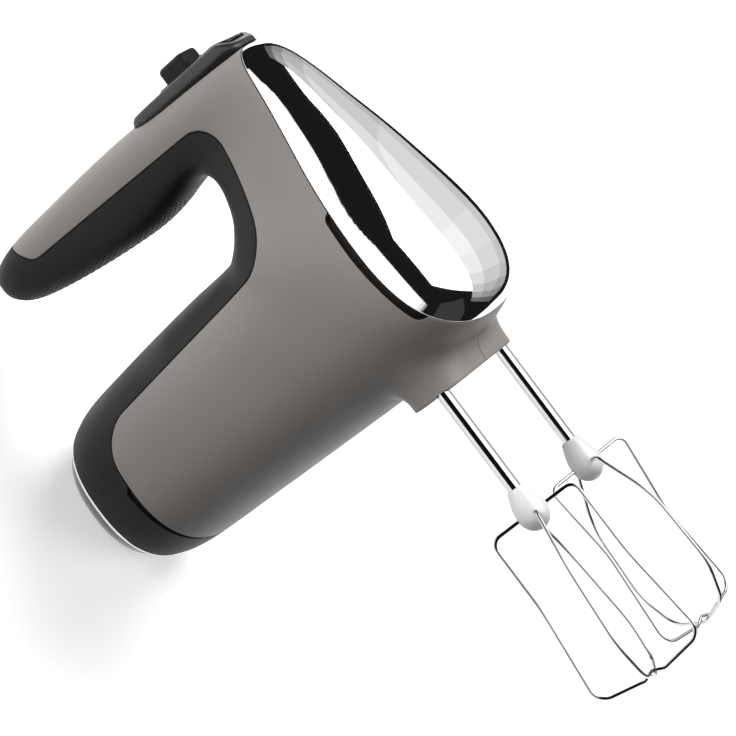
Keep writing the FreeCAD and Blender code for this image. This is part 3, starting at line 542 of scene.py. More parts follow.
def tube(path: np.ndarray, radius: float, reference: np.ndarray, count: int = 14) -> Skin:
    """A round wire carried along a path.

    At each point the ring lies in the plane of reference - (reference . tangent) tangent and its cross
    product with the tangent. The ends close in two shrinking rings.

    Args:
        path: The points of the wire's middle.
        radius: The wire's radius.
        reference: A direction that is never along the wire.
        count: The number of points round the wire.

    Returns:
        The closed tube.
    """
    tangent = unit(np.gradient(path, axis=0))
    first = unit(reference - (tangent @ reference)[:, None] * tangent)
    second = np.cross(tangent, first)
    angle = np.linspace(0.0, 2.0 * math.pi, count, endpoint=False)[None, :, None]
    ring = np.cos(angle) * first[:, None, :] + np.sin(angle) * second[:, None, :]
    body = path[:, None, :] + radius * ring
    start = np.stack([path[0] + 0.0 * body[0], path[0] + 0.7 * (body[0] - path[0])])
    end = np.stack([path[-1] + 0.7 * (body[-1] - path[-1]), path[-1] + 0.0 * body[-1]])
    skin = grid_skin(np.vstack([start, body, end]), True)
    sample = len(skin.points) // 2
    away = skin.points[sample] - path[np.linalg.norm(path - skin.points[sample], axis=1).argmin()]
    if skin.normals[sample] @ away > 0.0:
        return skin
    return skin.reversed()


def rounded_block(low: np.ndarray, high: np.ndarray, radius: float, count: int = 24) -> Skin:
    """A block with rounded edges: a ball's points pushed out to the eight corners.

    The point for a ball's direction n is centre + sign(n) * (half size - radius) + n * radius.
    """
    low, high = np.asarray(low, dtype=float), np.asarray(high, dtype=float)
    polar = (np.arange(count) + 0.5) / count * math.pi
    polar = np.concatenate([[0.0], polar, [math.pi]])
    around = (np.arange(2 * count) + 0.5) / count * math.pi
    n = np.stack([
        np.repeat(np.cos(polar)[:, None], 2 * count, axis=1),
        np.sin(polar)[:, None] * np.cos(around),
        np.sin(polar)[:, None] * np.sin(around),
    ], axis=2)
    half = 0.5 * (high - low) - radius
    points = 0.5 * (low + high) + np.sign(np.round(n, 9)) * half + n * radius
    points[0] = points[0].mean(axis=0)
    points[-1] = points[-1].mean(axis=0)
    return grid_skin(points, True, lambda p: p - 0.5 * (low + high))


def make_piece(name: str, skin: Skin, node: str | None, body: str, finish: "Finish") -> None:
    """Put a skin into a mesh object, dress it and hand it to the frame.

    Args:
        name: The piece's name.
        skin: Its surface.
        node: The CAD node that it stands for, or None.
        body: The body that it moves with.
        finish: What it is made of.
    """
    mesh = bpy.data.meshes.new(name)
    mesh.vertices.add(len(skin.points))
    mesh.vertices.foreach_set("co", skin.points.astype(np.float32).ravel())
    mesh.loops.add(3 * len(skin.faces))
    mesh.loops.foreach_set("vertex_index", skin.faces.astype(np.int32).ravel())
    mesh.polygons.add(len(skin.faces))
    mesh.polygons.foreach_set("loop_start", np.arange(0, 3 * len(skin.faces), 3, dtype=np.int32))
    mesh.update(calc_edges=True)
    mesh.validate()
    mesh.polygons.foreach_set("use_smooth", np.ones(len(mesh.polygons), dtype=bool))
    if len(mesh.vertices) == len(skin.points):
        mesh.normals_split_custom_set_from_vertices(skin.normals.astype(np.float32))
    piece = bpy.data.objects.new(name, mesh)
    bpy.context.scene.collection.objects.link(piece)
    mesh.materials.append(finish.material())
    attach(piece, body)
    if node is not None:
        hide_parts(node)
    log.info("%s: %d triangles on %s", name, len(mesh.polygons), body)


# ---------------------------------------------------------------- finishes


WHITE = (1.0, 1.0, 1.0, 1.0)


def set_inputs(node: bpy.types.Node, values: dict[str, object]) -> None:
    """Give a node's named inputs their values."""
    for label, value in values.items():
        node.inputs[label].default_value = value


def placed_group(tree: bpy.types.NodeTree, group: bpy.types.NodeTree,
                 values: dict[str, object]) -> bpy.types.Node:
    """A shared group placed in a material with its own values."""
    node = tree.nodes.new("ShaderNodeGroup")
    node.node_tree = group
    set_inputs(node, values)
    return node


class Effects:
    """Node groups that several finishes share, each built once."""

    def __init__(self) -> None:
        """Start with nothing built."""
        self.groups: dict[str, bpy.types.NodeTree] = {}

    @staticmethod
    def _new(name: str, inputs: Sequence[tuple[str, str, object]], outputs: Sequence[tuple[str, str]]
             ) -> tuple[bpy.types.NodeTree, bpy.types.Node, bpy.types.Node]:
        """An empty group with named sockets, and its input and output nodes."""
        tree = bpy.data.node_groups.new(name, "ShaderNodeTree")
        for label, kind, value in inputs:
            socket = tree.interface.new_socket(name=label, in_out="INPUT", socket_type=kind)
            socket.default_value = value
        for label, kind in outputs:
            tree.interface.new_socket(name=label, in_out="OUTPUT", socket_type=kind)
        return tree, tree.nodes.new("NodeGroupInput"), tree.nodes.new("NodeGroupOutput")

    def tone(self) -> bpy.types.NodeTree:
        """Colour that drifts between two shades in soft clouds, with a finer fleck on top."""
        if "tone" in self.groups:
            return self.groups["tone"]
        tree, given, result = self._new("soft_tone", [
            ("Light", "NodeSocketColor", (0.5, 0.5, 0.5, 1.0)),
            ("Dark", "NodeSocketColor", (0.4, 0.4, 0.4, 1.0)),
            ("Cloud Scale", "NodeSocketFloat", 30.0), ("Fleck Scale", "NodeSocketFloat", 4000.0),
            ("Fleck Share", "NodeSocketFloat", 0.3),
        ], [("Color", "NodeSocketColor"), ("Mask", "NodeSocketFloat")])
        place = tree.nodes.new("ShaderNodeTexCoord")
        cloud = tree.nodes.new("ShaderNodeTexNoise")
        fleck = tree.nodes.new("ShaderNodeTexNoise")
        for noise, label in ((cloud, "Cloud Scale"), (fleck, "Fleck Scale")):
            tree.links.new(place.outputs["Object"], noise.inputs["Vector"])
            tree.links.new(given.outputs[label], noise.inputs["Scale"])
        cloud.inputs["Detail"].default_value = 3.0
        fleck.inputs["Detail"].default_value = 1.0
        share = tree.nodes.new("ShaderNodeMix")
        tree.links.new(given.outputs["Fleck Share"], share.inputs["Factor"])
        tree.links.new(cloud.outputs["Fac"], share.inputs["A"])
        tree.links.new(fleck.outputs["Fac"], share.inputs["B"])
        spread = tree.nodes.new("ShaderNodeMapRange")
        set_inputs(spread, {"From Min": 0.32, "From Max": 0.68})
        tree.links.new(share.outputs["Result"], spread.inputs["Value"])
        mix = tree.nodes.new("ShaderNodeMix")
        mix.data_type = "RGBA"
        tree.links.new(spread.outputs["Result"], mix.inputs["Factor"])
        tree.links.new(given.outputs["Dark"], mix.inputs["A"])
        tree.links.new(given.outputs["Light"], mix.inputs["B"])
        tree.links.new(mix.outputs["Result"], result.inputs["Color"])
        tree.links.new(spread.outputs["Result"], result.inputs["Mask"])
        self.groups["tone"] = tree
        return tree

    def handling(self) -> bpy.types.NodeTree:
        """A roughness that is a little higher in faint smudges."""
        if "handling" in self.groups:
            return self.groups["handling"]
        tree, given, result = self._new("handling_marks", [
            ("Smooth", "NodeSocketFloat", 0.3), ("Rough", "NodeSocketFloat", 0.4),
            ("Scale", "NodeSocketFloat", 40.0)], [("Roughness", "NodeSocketFloat")])
        place = tree.nodes.new("ShaderNodeTexCoord")
        noise = tree.nodes.new("ShaderNodeTexNoise")
        set_inputs(noise, {"Detail": 5.0, "Distortion": 0.6})
        tree.links.new(place.outputs["Object"], noise.inputs["Vector"])
        tree.links.new(given.outputs["Scale"], noise.inputs["Scale"])
        spread = tree.nodes.new("ShaderNodeMapRange")
        set_inputs(spread, {"From Min": 0.35, "From Max": 0.7})
        tree.links.new(noise.outputs["Fac"], spread.inputs["Value"])
        tree.links.new(given.outputs["Smooth"], spread.inputs["To Min"])
        tree.links.new(given.outputs["Rough"], spread.inputs["To Max"])
        tree.links.new(spread.outputs["Result"], result.inputs["Roughness"])
        self.groups["handling"] = tree
        return tree

    def relief(self) -> bpy.types.NodeTree:
        """A fine height: noise stretched along one axis, or small cells, by share."""
        if "relief" in self.groups:
            return self.groups["relief"]
        tree, given, result = self._new("fine_relief", [
            ("Scale", "NodeSocketFloat", 2000.0), ("Stretch", "NodeSocketVector", (1.0, 1.0, 1.0)),
            ("Cells", "NodeSocketFloat", 0.0)], [("Height", "NodeSocketFloat")])
        place = tree.nodes.new("ShaderNodeTexCoord")
        stretch = tree.nodes.new("ShaderNodeVectorMath")
        stretch.operation = "MULTIPLY"
        tree.links.new(place.outputs["Object"], stretch.inputs[0])
        tree.links.new(given.outputs["Stretch"], stretch.inputs[1])
        noise = tree.nodes.new("ShaderNodeTexNoise")
        noise.inputs["Detail"].default_value = 2.0
        cells = tree.nodes.new("ShaderNodeTexVoronoi")
        for texture in (noise, cells):
            tree.links.new(stretch.outputs["Vector"], texture.inputs["Vector"])
            tree.links.new(given.outputs["Scale"], texture.inputs["Scale"])
        mix = tree.nodes.new("ShaderNodeMix")
        tree.links.new(given.outputs["Cells"], mix.inputs["Factor"])
        tree.links.new(noise.outputs["Fac"], mix.inputs["A"])
        tree.links.new(cells.outputs["Distance"], mix.inputs["B"])
        tree.links.new(mix.outputs["Result"], result.inputs["Height"])
        self.groups["relief"] = tree
        return tree


EFFECTS = Effects()


@dataclass(frozen=True)
class Finish:
    """One finish: two shades that drift into each other, a roughness that varies, and a fine relief."""

    name: str
    light: tuple[float, float, float]
    dark: tuple[float, float, float]
    metallic: float = 0.0
    smooth: float = 0.3
    rough: float = 0.4
    cloud_scale: float = 30.0
    fleck_scale: float = 4000.0
    fleck_share: float = 0.3
    relief_scale: float = 2500.0
    relief_depth: float = 0.00001
    relief_strength: float = 0.15
    stretch: tuple[float, float, float] = (1.0, 1.0, 1.0)
    cells: float = 0.0
    coat: float = 0.0
    coat_roughness: float = 0.1
    specular: float = 0.5
    glow: float = 0.0

    def material(self) -> bpy.types.Material:
        """The material, built on its first use."""
        made = bpy.data.materials.get(self.name)
        if made is not None:
            return made
        made = bpy.data.materials.new(self.name)
        made.use_nodes = True
        tree = made.node_tree
        shader = tree.nodes["Principled BSDF"]
        set_inputs(shader, {
            "Metallic": self.metallic, "Specular IOR Level": self.specular, "Emission Color": WHITE,
            "Emission Strength": self.glow, "Coat Weight": self.coat, "Coat Roughness": self.coat_roughness})
        tone = placed_group(tree, EFFECTS.tone(), {
            "Light": (*self.light, 1.0), "Dark": (*self.dark, 1.0), "Cloud Scale": self.cloud_scale,
            "Fleck Scale": self.fleck_scale, "Fleck Share": self.fleck_share})
        marks = placed_group(tree, EFFECTS.handling(), {"Smooth": self.smooth, "Rough": self.rough})
        relief = placed_group(tree, EFFECTS.relief(), {
            "Scale": self.relief_scale, "Stretch": self.stretch, "Cells": self.cells})
        tree.links.new(tone.outputs["Color"], shader.inputs["Base Color"])
        tree.links.new(marks.outputs["Roughness"], shader.inputs["Roughness"])
        bump = tree.nodes.new("ShaderNodeBump")
        set_inputs(bump, {"Distance": self.relief_depth, "Strength": self.relief_strength})
        tree.links.new(relief.outputs["Height"], bump.inputs["Height"])
        tree.links.new(bump.outputs["Normal"], shader.inputs["Normal"])
        return made


SATIN_TAUPE = Finish("satin_taupe_paint", (0.29, 0.27, 0.255), (0.25, 0.233, 0.22), metallic=0.0,
                     smooth=0.4, rough=0.46, cloud_scale=18.0, fleck_scale=5200.0, fleck_share=0.55,
                     relief_scale=5200.0, relief_depth=0.00002, relief_strength=0.12, specular=0.2)
CHROME = Finish("polished_chrome", (0.9, 0.9, 0.9), (0.86, 0.865, 0.87), metallic=1.0, smooth=0.035,
                rough=0.06, cloud_scale=14.0, fleck_share=0.1, relief_scale=900.0, relief_depth=0.000004,
                relief_strength=0.03)
SOFT_BLACK = Finish("soft_black_liner", (0.012, 0.012, 0.012), (0.008, 0.008, 0.008), smooth=0.46,
                    rough=0.56, fleck_scale=3600.0, fleck_share=0.5, relief_scale=2600.0,
                    relief_depth=0.00002, relief_strength=0.15, cells=0.4, specular=0.14)
GLOSS_BLACK = Finish("gloss_black_plastic", (0.014, 0.014, 0.015), (0.009, 0.009, 0.01), smooth=0.14,
                     rough=0.22, relief_scale=1800.0, relief_depth=0.00001, relief_strength=0.06, coat=0.4,
                     coat_roughness=0.08)
CHARCOAL = Finish("satin_charcoal", (0.03, 0.03, 0.031), (0.02, 0.02, 0.021), smooth=0.24, rough=0.32,
                  fleck_share=0.5, relief_scale=3000.0, relief_depth=0.00002, relief_strength=0.15)
# painted shade: a near-black, rough finish for the strips behind the joints, standing in for the shade inside
# the gaps
GAP_SHADE_BLACK = Finish("deep_black_backing", (0.006, 0.006, 0.006), (0.004, 0.004, 0.004), smooth=0.6,
                    rough=0.75, relief_scale=2500.0, relief_strength=0.2)
VENT_BLACK = Finish("vent_recess", (0.016, 0.013, 0.012), (0.01, 0.008, 0.007), smooth=0.45, rough=0.55,
                    relief_scale=3200.0, relief_strength=0.15, specular=0.1)
STEEL_WIRE = Finish("polished_steel", (0.58, 0.58, 0.58), (0.5, 0.5, 0.51), metallic=1.0, smooth=0.06,
                    rough=0.1, cloud_scale=60.0, fleck_scale=2500.0, relief_scale=700.0,
                    relief_depth=0.00001, relief_strength=0.08, stretch=(0.12, 4.0, 4.0))
EGG_WHITE = Finish("white_hub_plastic", (0.78, 0.78, 0.785), (0.73, 0.73, 0.74), smooth=0.22, rough=0.3,
                   cloud_scale=90.0, relief_scale=1500.0, relief_strength=0.06)
MACHINED = Finish("machined_steel", (0.56, 0.56, 0.57), (0.46, 0.46, 0.47), metallic=1.0, smooth=0.28,
                  rough=0.4, stretch=(0.3, 3.0, 3.0), relief_strength=0.2)
BRONZE = Finish("sintered_bronze", (0.52, 0.34, 0.17), (0.42, 0.27, 0.13), metallic=1.0, smooth=0.4,
                rough=0.55, cells=0.7, relief_strength=0.3)
NYLON = Finish("cream_nylon", (0.74, 0.71, 0.62), (0.68, 0.65, 0.56), smooth=0.35, rough=0.5,
               relief_strength=0.15)
DARK_NYLON = Finish("dark_nylon", (0.05, 0.05, 0.053), (0.035, 0.035, 0.038), smooth=0.42, rough=0.55,
                    relief_strength=0.25)
IRON = Finish("stacked_iron", (0.24, 0.24, 0.25), (0.15, 0.15, 0.16), metallic=0.9, smooth=0.4, rough=0.55,
              stretch=(0.2, 0.2, 12.0), relief_depth=0.0001, relief_strength=0.5)
COPPER = Finish("enamelled_copper", (0.55, 0.2, 0.08), (0.4, 0.13, 0.05), metallic=0.9, smooth=0.25,
                rough=0.4, stretch=(0.3, 0.3, 3.0), relief_depth=0.0001, relief_strength=0.4)
GRAPHITE = Finish("graphite", (0.03, 0.03, 0.032), (0.02, 0.02, 0.021), metallic=0.2, smooth=0.5, rough=0.6)
BOARD_GREEN = Finish("board_mask", (0.03, 0.16, 0.06), (0.02, 0.11, 0.045), smooth=0.25, rough=0.35)
COMPONENT = Finish("component_body", (0.09, 0.12, 0.28), (0.07, 0.09, 0.22), smooth=0.3, rough=0.45)
SWITCH_GREY = Finish("switch_grey", (0.2, 0.2, 0.21), (0.15, 0.15, 0.16), smooth=0.35, rough=0.5)

SLOT_FINISH = {
    "painted_taupe": SATIN_TAUPE, "chrome": CHROME, "soft_black": SOFT_BLACK, "gloss_black": GLOSS_BLACK,
    "bright_trim": CHROME, "vent_black": VENT_BLACK, "hub_white": EGG_WHITE, "stainless": STEEL_WIRE,
    "steel": MACHINED, "bearing_bronze": BRONZE, "gear_nylon": NYLON, "frame_nylon": DARK_NYLON,
    "lamination": IRON, "copper": COPPER, "carbon": GRAPHITE, "board_green": BOARD_GREEN,
    "component": COMPONENT, "switch_grey": SWITCH_GREY,
}


# ---------------------------------------------------------------- the C-shaped form


@dataclass
class CForm:
    """The closed C-shaped form that the housing, nose cap, liner and heel are cut from.

    A section runs from a point on the outside of the C to a point on its inside. With the section's middle
    m, its half reach r from m to the outside point and its half width w, the surface is m + r * sgn(cos a)
    |cos a|^p + w * sgn(sin a) |sin a|^p along Y, with p = 2 / roundness, a superellipse. The numbers m, r
    and w run along the C on natural cubic splines.
    """

    roundness: float = 2.4
    rows: int = 380
    columns: int = 168
    handle: tuple[tuple[float, ...], ...] = (
        (-165.4, -117.6, -165.4, -117.0, 0.4), (-164.6, -120.5, -164.6, -114.0, 4.0),
        (-163.4, -123.5, -163.4, -111.3, 7.5), (-160.0, -126.0, -160.0, -108.3, 10.8),
        (-154.0, -128.0, -154.0, -105.3, 13.2), (-144.0, -129.6, -144.0, -102.6, 14.9),
        (-118.0, -130.9, -118.0, -98.4, 16.4), (-92.0, -131.7, -92.0, -95.6, 17.2),
        (-72.0, -131.9, -72.0, -95.2, 17.6))
    column: tuple[tuple[float, ...], ...] = (
        (-54.0, -131.4, -55.0, -97.6, 17.8), (-32.0, -130.6, -47.0, -98.6, 18.0),
        (-8.0, -129.6, -41.5, -96.9, 18.2), (10.5, -125.6, -39.4, -92.6, 18.8),
        (20.6, -111.0, -39.0, -87.5, 21.0), (26.0, -92.0, -39.3, -82.5, 24.8),
        (30.6, -73.0, -40.2, -77.5, 29.4), (34.2, -52.0, -42.0, -73.2, 35.2),
        (37.2, -30.0, -44.8, -69.8, 40.4), (37.6, -12.0, -48.4, -67.4, 43.0),
        (31.5, 6.6, -53.0, -65.8, 44.0))
    lower_body: tuple[tuple[float, ...], ...] = (
        (17.0, 14.2, -58.5, -65.1, 44.0), (-3.0, 17.6, -65.0, -64.7, 43.8),
        (-28.0, 18.5, -73.0, -64.4, 43.3), (-58.0, 18.6, -84.0, -63.9, 42.8),
        (-90.0, 18.6, -100.0, -62.7, 42.0), (-122.0, 18.5, -122.0, -60.9, 40.8),
        (-146.0, 18.4, -146.0, -58.6, 39.3), (-160.0, 17.6, -160.0, -56.8, 37.4),
        (-170.0, 15.2, -170.0, -53.8, 34.4), (-177.0, 11.6, -177.0, -49.8, 30.8),
        (-182.0, 7.0, -182.0, -44.9, 26.4), (-185.0, 2.0, -185.0, -39.6, 21.8),
        (-186.0, -2.0, -186.0, -35.5, 18.0))

    def sections(self, share: np.ndarray) -> np.ndarray:
        """Rows of (outside ahead, outside below, inside ahead, inside below, half width) along the C.

        Args:
            share: Places along the C, from nought at the handle's end to one at the heel.

        Returns:
            One row for each place, in millimetres.
        """
        table = np.array(self.handle + self.column + self.lower_body)
        step = 0.5 * (np.linalg.norm(np.diff(table[:, 0:2], axis=0), axis=1)
                      + np.linalg.norm(np.diff(table[:, 2:4], axis=0), axis=1))
        step += 0.6 * np.abs(np.diff(table[:, 4]))
        knots = np.concatenate([[0.0], np.cumsum(step)])
        return spline(knots, table, share * knots[-1])

    def surface(self, share: np.ndarray, angle: np.ndarray) -> np.ndarray:
        """The form's points for places along the C and angles round its section, as a grid."""
        rows = self.sections(share)
        outside, inside = rows[:, 0:2], rows[:, 2:4]
        middle, reach = 0.5 * (outside + inside), 0.5 * (outside - inside)
        power = 2.0 / self.roundness
        rise = (np.sign(np.cos(angle)) * np.abs(np.cos(angle)) ** power)[None, :, None]
        spread = np.sign(np.sin(angle)) * np.abs(np.sin(angle)) ** power
        flat = middle[:, None, :] + reach[:, None, :] * rise
        points = np.empty(flat.shape[:2] + (3,))
        points[..., 0] = CENTRE_LINE + flat[..., 1] * MM
        points[..., 1] = rows[:, 4:5] * spread * MM
        points[..., 2] = PLANE + flat[..., 0] * MM
        return points

    def skin(self) -> Skin:
        """The whole form, closed at the handle's end by a pole and at the heel by a flat face."""
        share = np.linspace(0.0, 1.0, self.rows)
        angle = np.linspace(0.0, 2.0 * math.pi, self.columns, endpoint=False)
        points = self.surface(share, angle)
        ends = [points[:1].mean(axis=1, keepdims=True) + 0.0 * points[:1], points]
        heel = points[-1:]
        hub = heel.mean(axis=1, keepdims=True)
        for scale in (0.985, 0.6, 0.25, 0.0):
            ends.append(hub + (heel - hub) * scale)
        skin = grid_skin(np.vstack(ends), True)
        right_side = skin.points[:, 1] < -0.01
        if (skin.normals[right_side, 1] > 0.0).mean() > 0.5:
            skin = skin.reversed()
        low = skin.points[:, 2] < 0.00002
        skin.normals[low] = (0.0, 0.0, -1.0)
        skin.root_normals = skin.normals.copy()
        return skin


@dataclass
class Collar:
    """The collar below the housing, round both beater shafts.

    Its foot is a rounded rectangle. From the foot the wall climbs along -X and bends out until it lies on
    the
    housing: a cubic with the end points and end slopes of the wall and of the housing, a Hermite curve.
    """

    front: float = 8.6
    back: float = 18.5
    half_width: float = 28.4
    corner: float = 12.0
    foot: float = 25.0
    flare_front: float = 5.0
    flare_side: float = 6.5
    edge: float = 0.9
    upright: float = 1.2
    foot_slope: float = 1.3
    top_slope: float = 0.9
    count: int = 260
    climb: int = 22

    def outline(self, grow: float) -> np.ndarray:
        """Points round the foot as (y, ahead) in millimetres, from the middle of its front."""
        half, front, back = self.half_width + grow, self.front + grow, -self.back - grow
        corners = [(0, front), (half, front), (half, back), (-half, back), (-half, front), (0, front)]
        run = rounded_run(corners, [self.corner + grow] * 4, 0.5)
        length = np.concatenate([[0.0], np.cumsum(np.linalg.norm(np.diff(run, axis=0), axis=1))])
        even = np.linspace(0.0, length[-1], self.count, endpoint=False)
        return np.column_stack([np.interp(even, length, run[:, 0]), np.interp(even, length, run[:, 1])])

    def distance(self, points: np.ndarray, shrink: float) -> tuple[np.ndarray, np.ndarray]:
        """Signed distance outside the foot's outline, for points of the housing's underside.

        Args:
            points: Points of the frame.
            shrink: How far the rectangle is drawn in, in millimetres.

        Returns:
            The distances in metres and their gradients.
        """
        middle = PLANE + 0.5 * (self.front - self.back) * MM
        reach = np.array([self.half_width, 0.5 * (self.front + self.back)]) - self.corner
        value, gradient = outside_rectangle(points, middle, reach, self.corner - shrink)
        return np.where(points[:, 0] < CENTRE_LINE, 1.0, value), gradient

    @staticmethod
    def landing(form: Skin, flat: np.ndarray) -> tuple[np.ndarray, np.ndarray]:
        """Where lines along X from below meet the housing, and its normals there.

        The nearest point of the housing's skin seen along X gives a tangent plane, which the line is
        carried to.
        """
        under = (form.normals[:, 0] > 0.2) & (form.points[:, 0] > CENTRE_LINE - 0.02)
        points, normals = form.points[under], form.normals[under]
        gap = flat[:, None, :] - points[None, :, 1:3]
        nearest = (gap ** 2).sum(axis=2).argmin(axis=1)
        point, normal = points[nearest], normals[nearest]
        away = flat - point[:, 1:3]
        x = point[:, 0] - (normal[:, 1] * away[:, 0] + normal[:, 2] * away[:, 1]) / normal[:, 0]
        return np.column_stack([x, flat]), normal

    def skin(self, form: Skin) -> Skin:
        """The collar's wall, its rounded lower edge and its foot, as a skin."""
        base = self.outline(0.0)
        outward = unit(base - np.column_stack([
            np.clip(base[:, 0], -(self.half_width - self.corner), self.half_width - self.corner),
            np.clip(base[:, 1], -(self.back - self.corner), self.front - self.corner)]))
        flare = self.flare_side + (self.flare_front - self.flare_side) * ease(0.2, 0.9, outward[:, 1])
        tip = base + outward * flare[:, None]
        top, normal = self.landing(form, np.column_stack([tip[:, 0] * MM, PLANE + tip[:, 1] * MM]))
        side = np.column_stack([np.zeros(self.count), outward])
        start = np.column_stack([
            np.full(self.count, CENTRE_LINE + (self.foot - self.edge - self.upright) * MM), base[:, 0] * MM,
            PLANE + base[:, 1] * MM])
        rise = np.linalg.norm(top - start, axis=1, keepdims=True)
        slope_a = np.array([-1.0, 0.0, 0.0]) * rise * self.foot_slope
        slope_b = unit(side - (side * normal).sum(axis=1, keepdims=True) * normal) * rise * self.top_slope
        s = np.linspace(1.0, 0.0, self.climb)[:, None, None]
        wall = ((2 * s ** 3 - 3 * s ** 2 + 1) * start + (s ** 3 - 2 * s ** 2 + s) * slope_a
                + (3 * s ** 2 - 2 * s ** 3) * top + (s ** 3 - s ** 2) * slope_b)
        turn = np.linspace(0.0, math.pi / 2.0, 7)[:, None, None]
        edge_centre = start - side * self.edge * MM + np.array([self.upright * MM, 0.0, 0.0])
        edge = edge_centre + self.edge * MM * (np.cos(turn) * side + np.sin(turn) * np.array([1.0, 0.0, 0.0]))
        inset = base - outward * self.edge
        centre = np.array([0.0, 0.5 * (self.front - self.back)])
        foot_rings = []
        for share in (0.97, 0.9, 0.8, 0.66, 0.5, 0.34, 0.2, 0.1, 0.0):
            flat = centre + (inset - centre) * share
            foot_rings.append(np.column_stack([
                np.full(self.count, CENTRE_LINE + self.foot * MM), flat[:, 0] * MM, PLANE + flat[:, 1] * MM]))
        points = np.vstack([wall, edge, np.array(foot_rings)])
        skin = grid_skin(points, True, lambda p: p - at(0.5 * (self.front - self.back), 12.0))
        first = np.abs(skin.points[:, 0] - CENTRE_LINE - self.foot * MM) < 1e-6
        skin.normals[first] = (1.0, 0.0, 0.0)
        landed, landed_normals = self._landed(skin, top, normal)
        skin.normals[landed] = landed_normals
        skin.root_normals = skin.normals.copy()
        return skin

    @staticmethod
    def _landed(skin: Skin, top: np.ndarray, normal: np.ndarray) -> tuple[np.ndarray, np.ndarray]:
        """The points of the wall's top row and the housing normals they take."""
        gap = ((skin.points[:, None, :] - top[None, :, :]) ** 2).sum(axis=2)
        near = gap.min(axis=1) < 1e-10
        return np.flatnonzero(near), normal[gap[near].argmin(axis=1)]


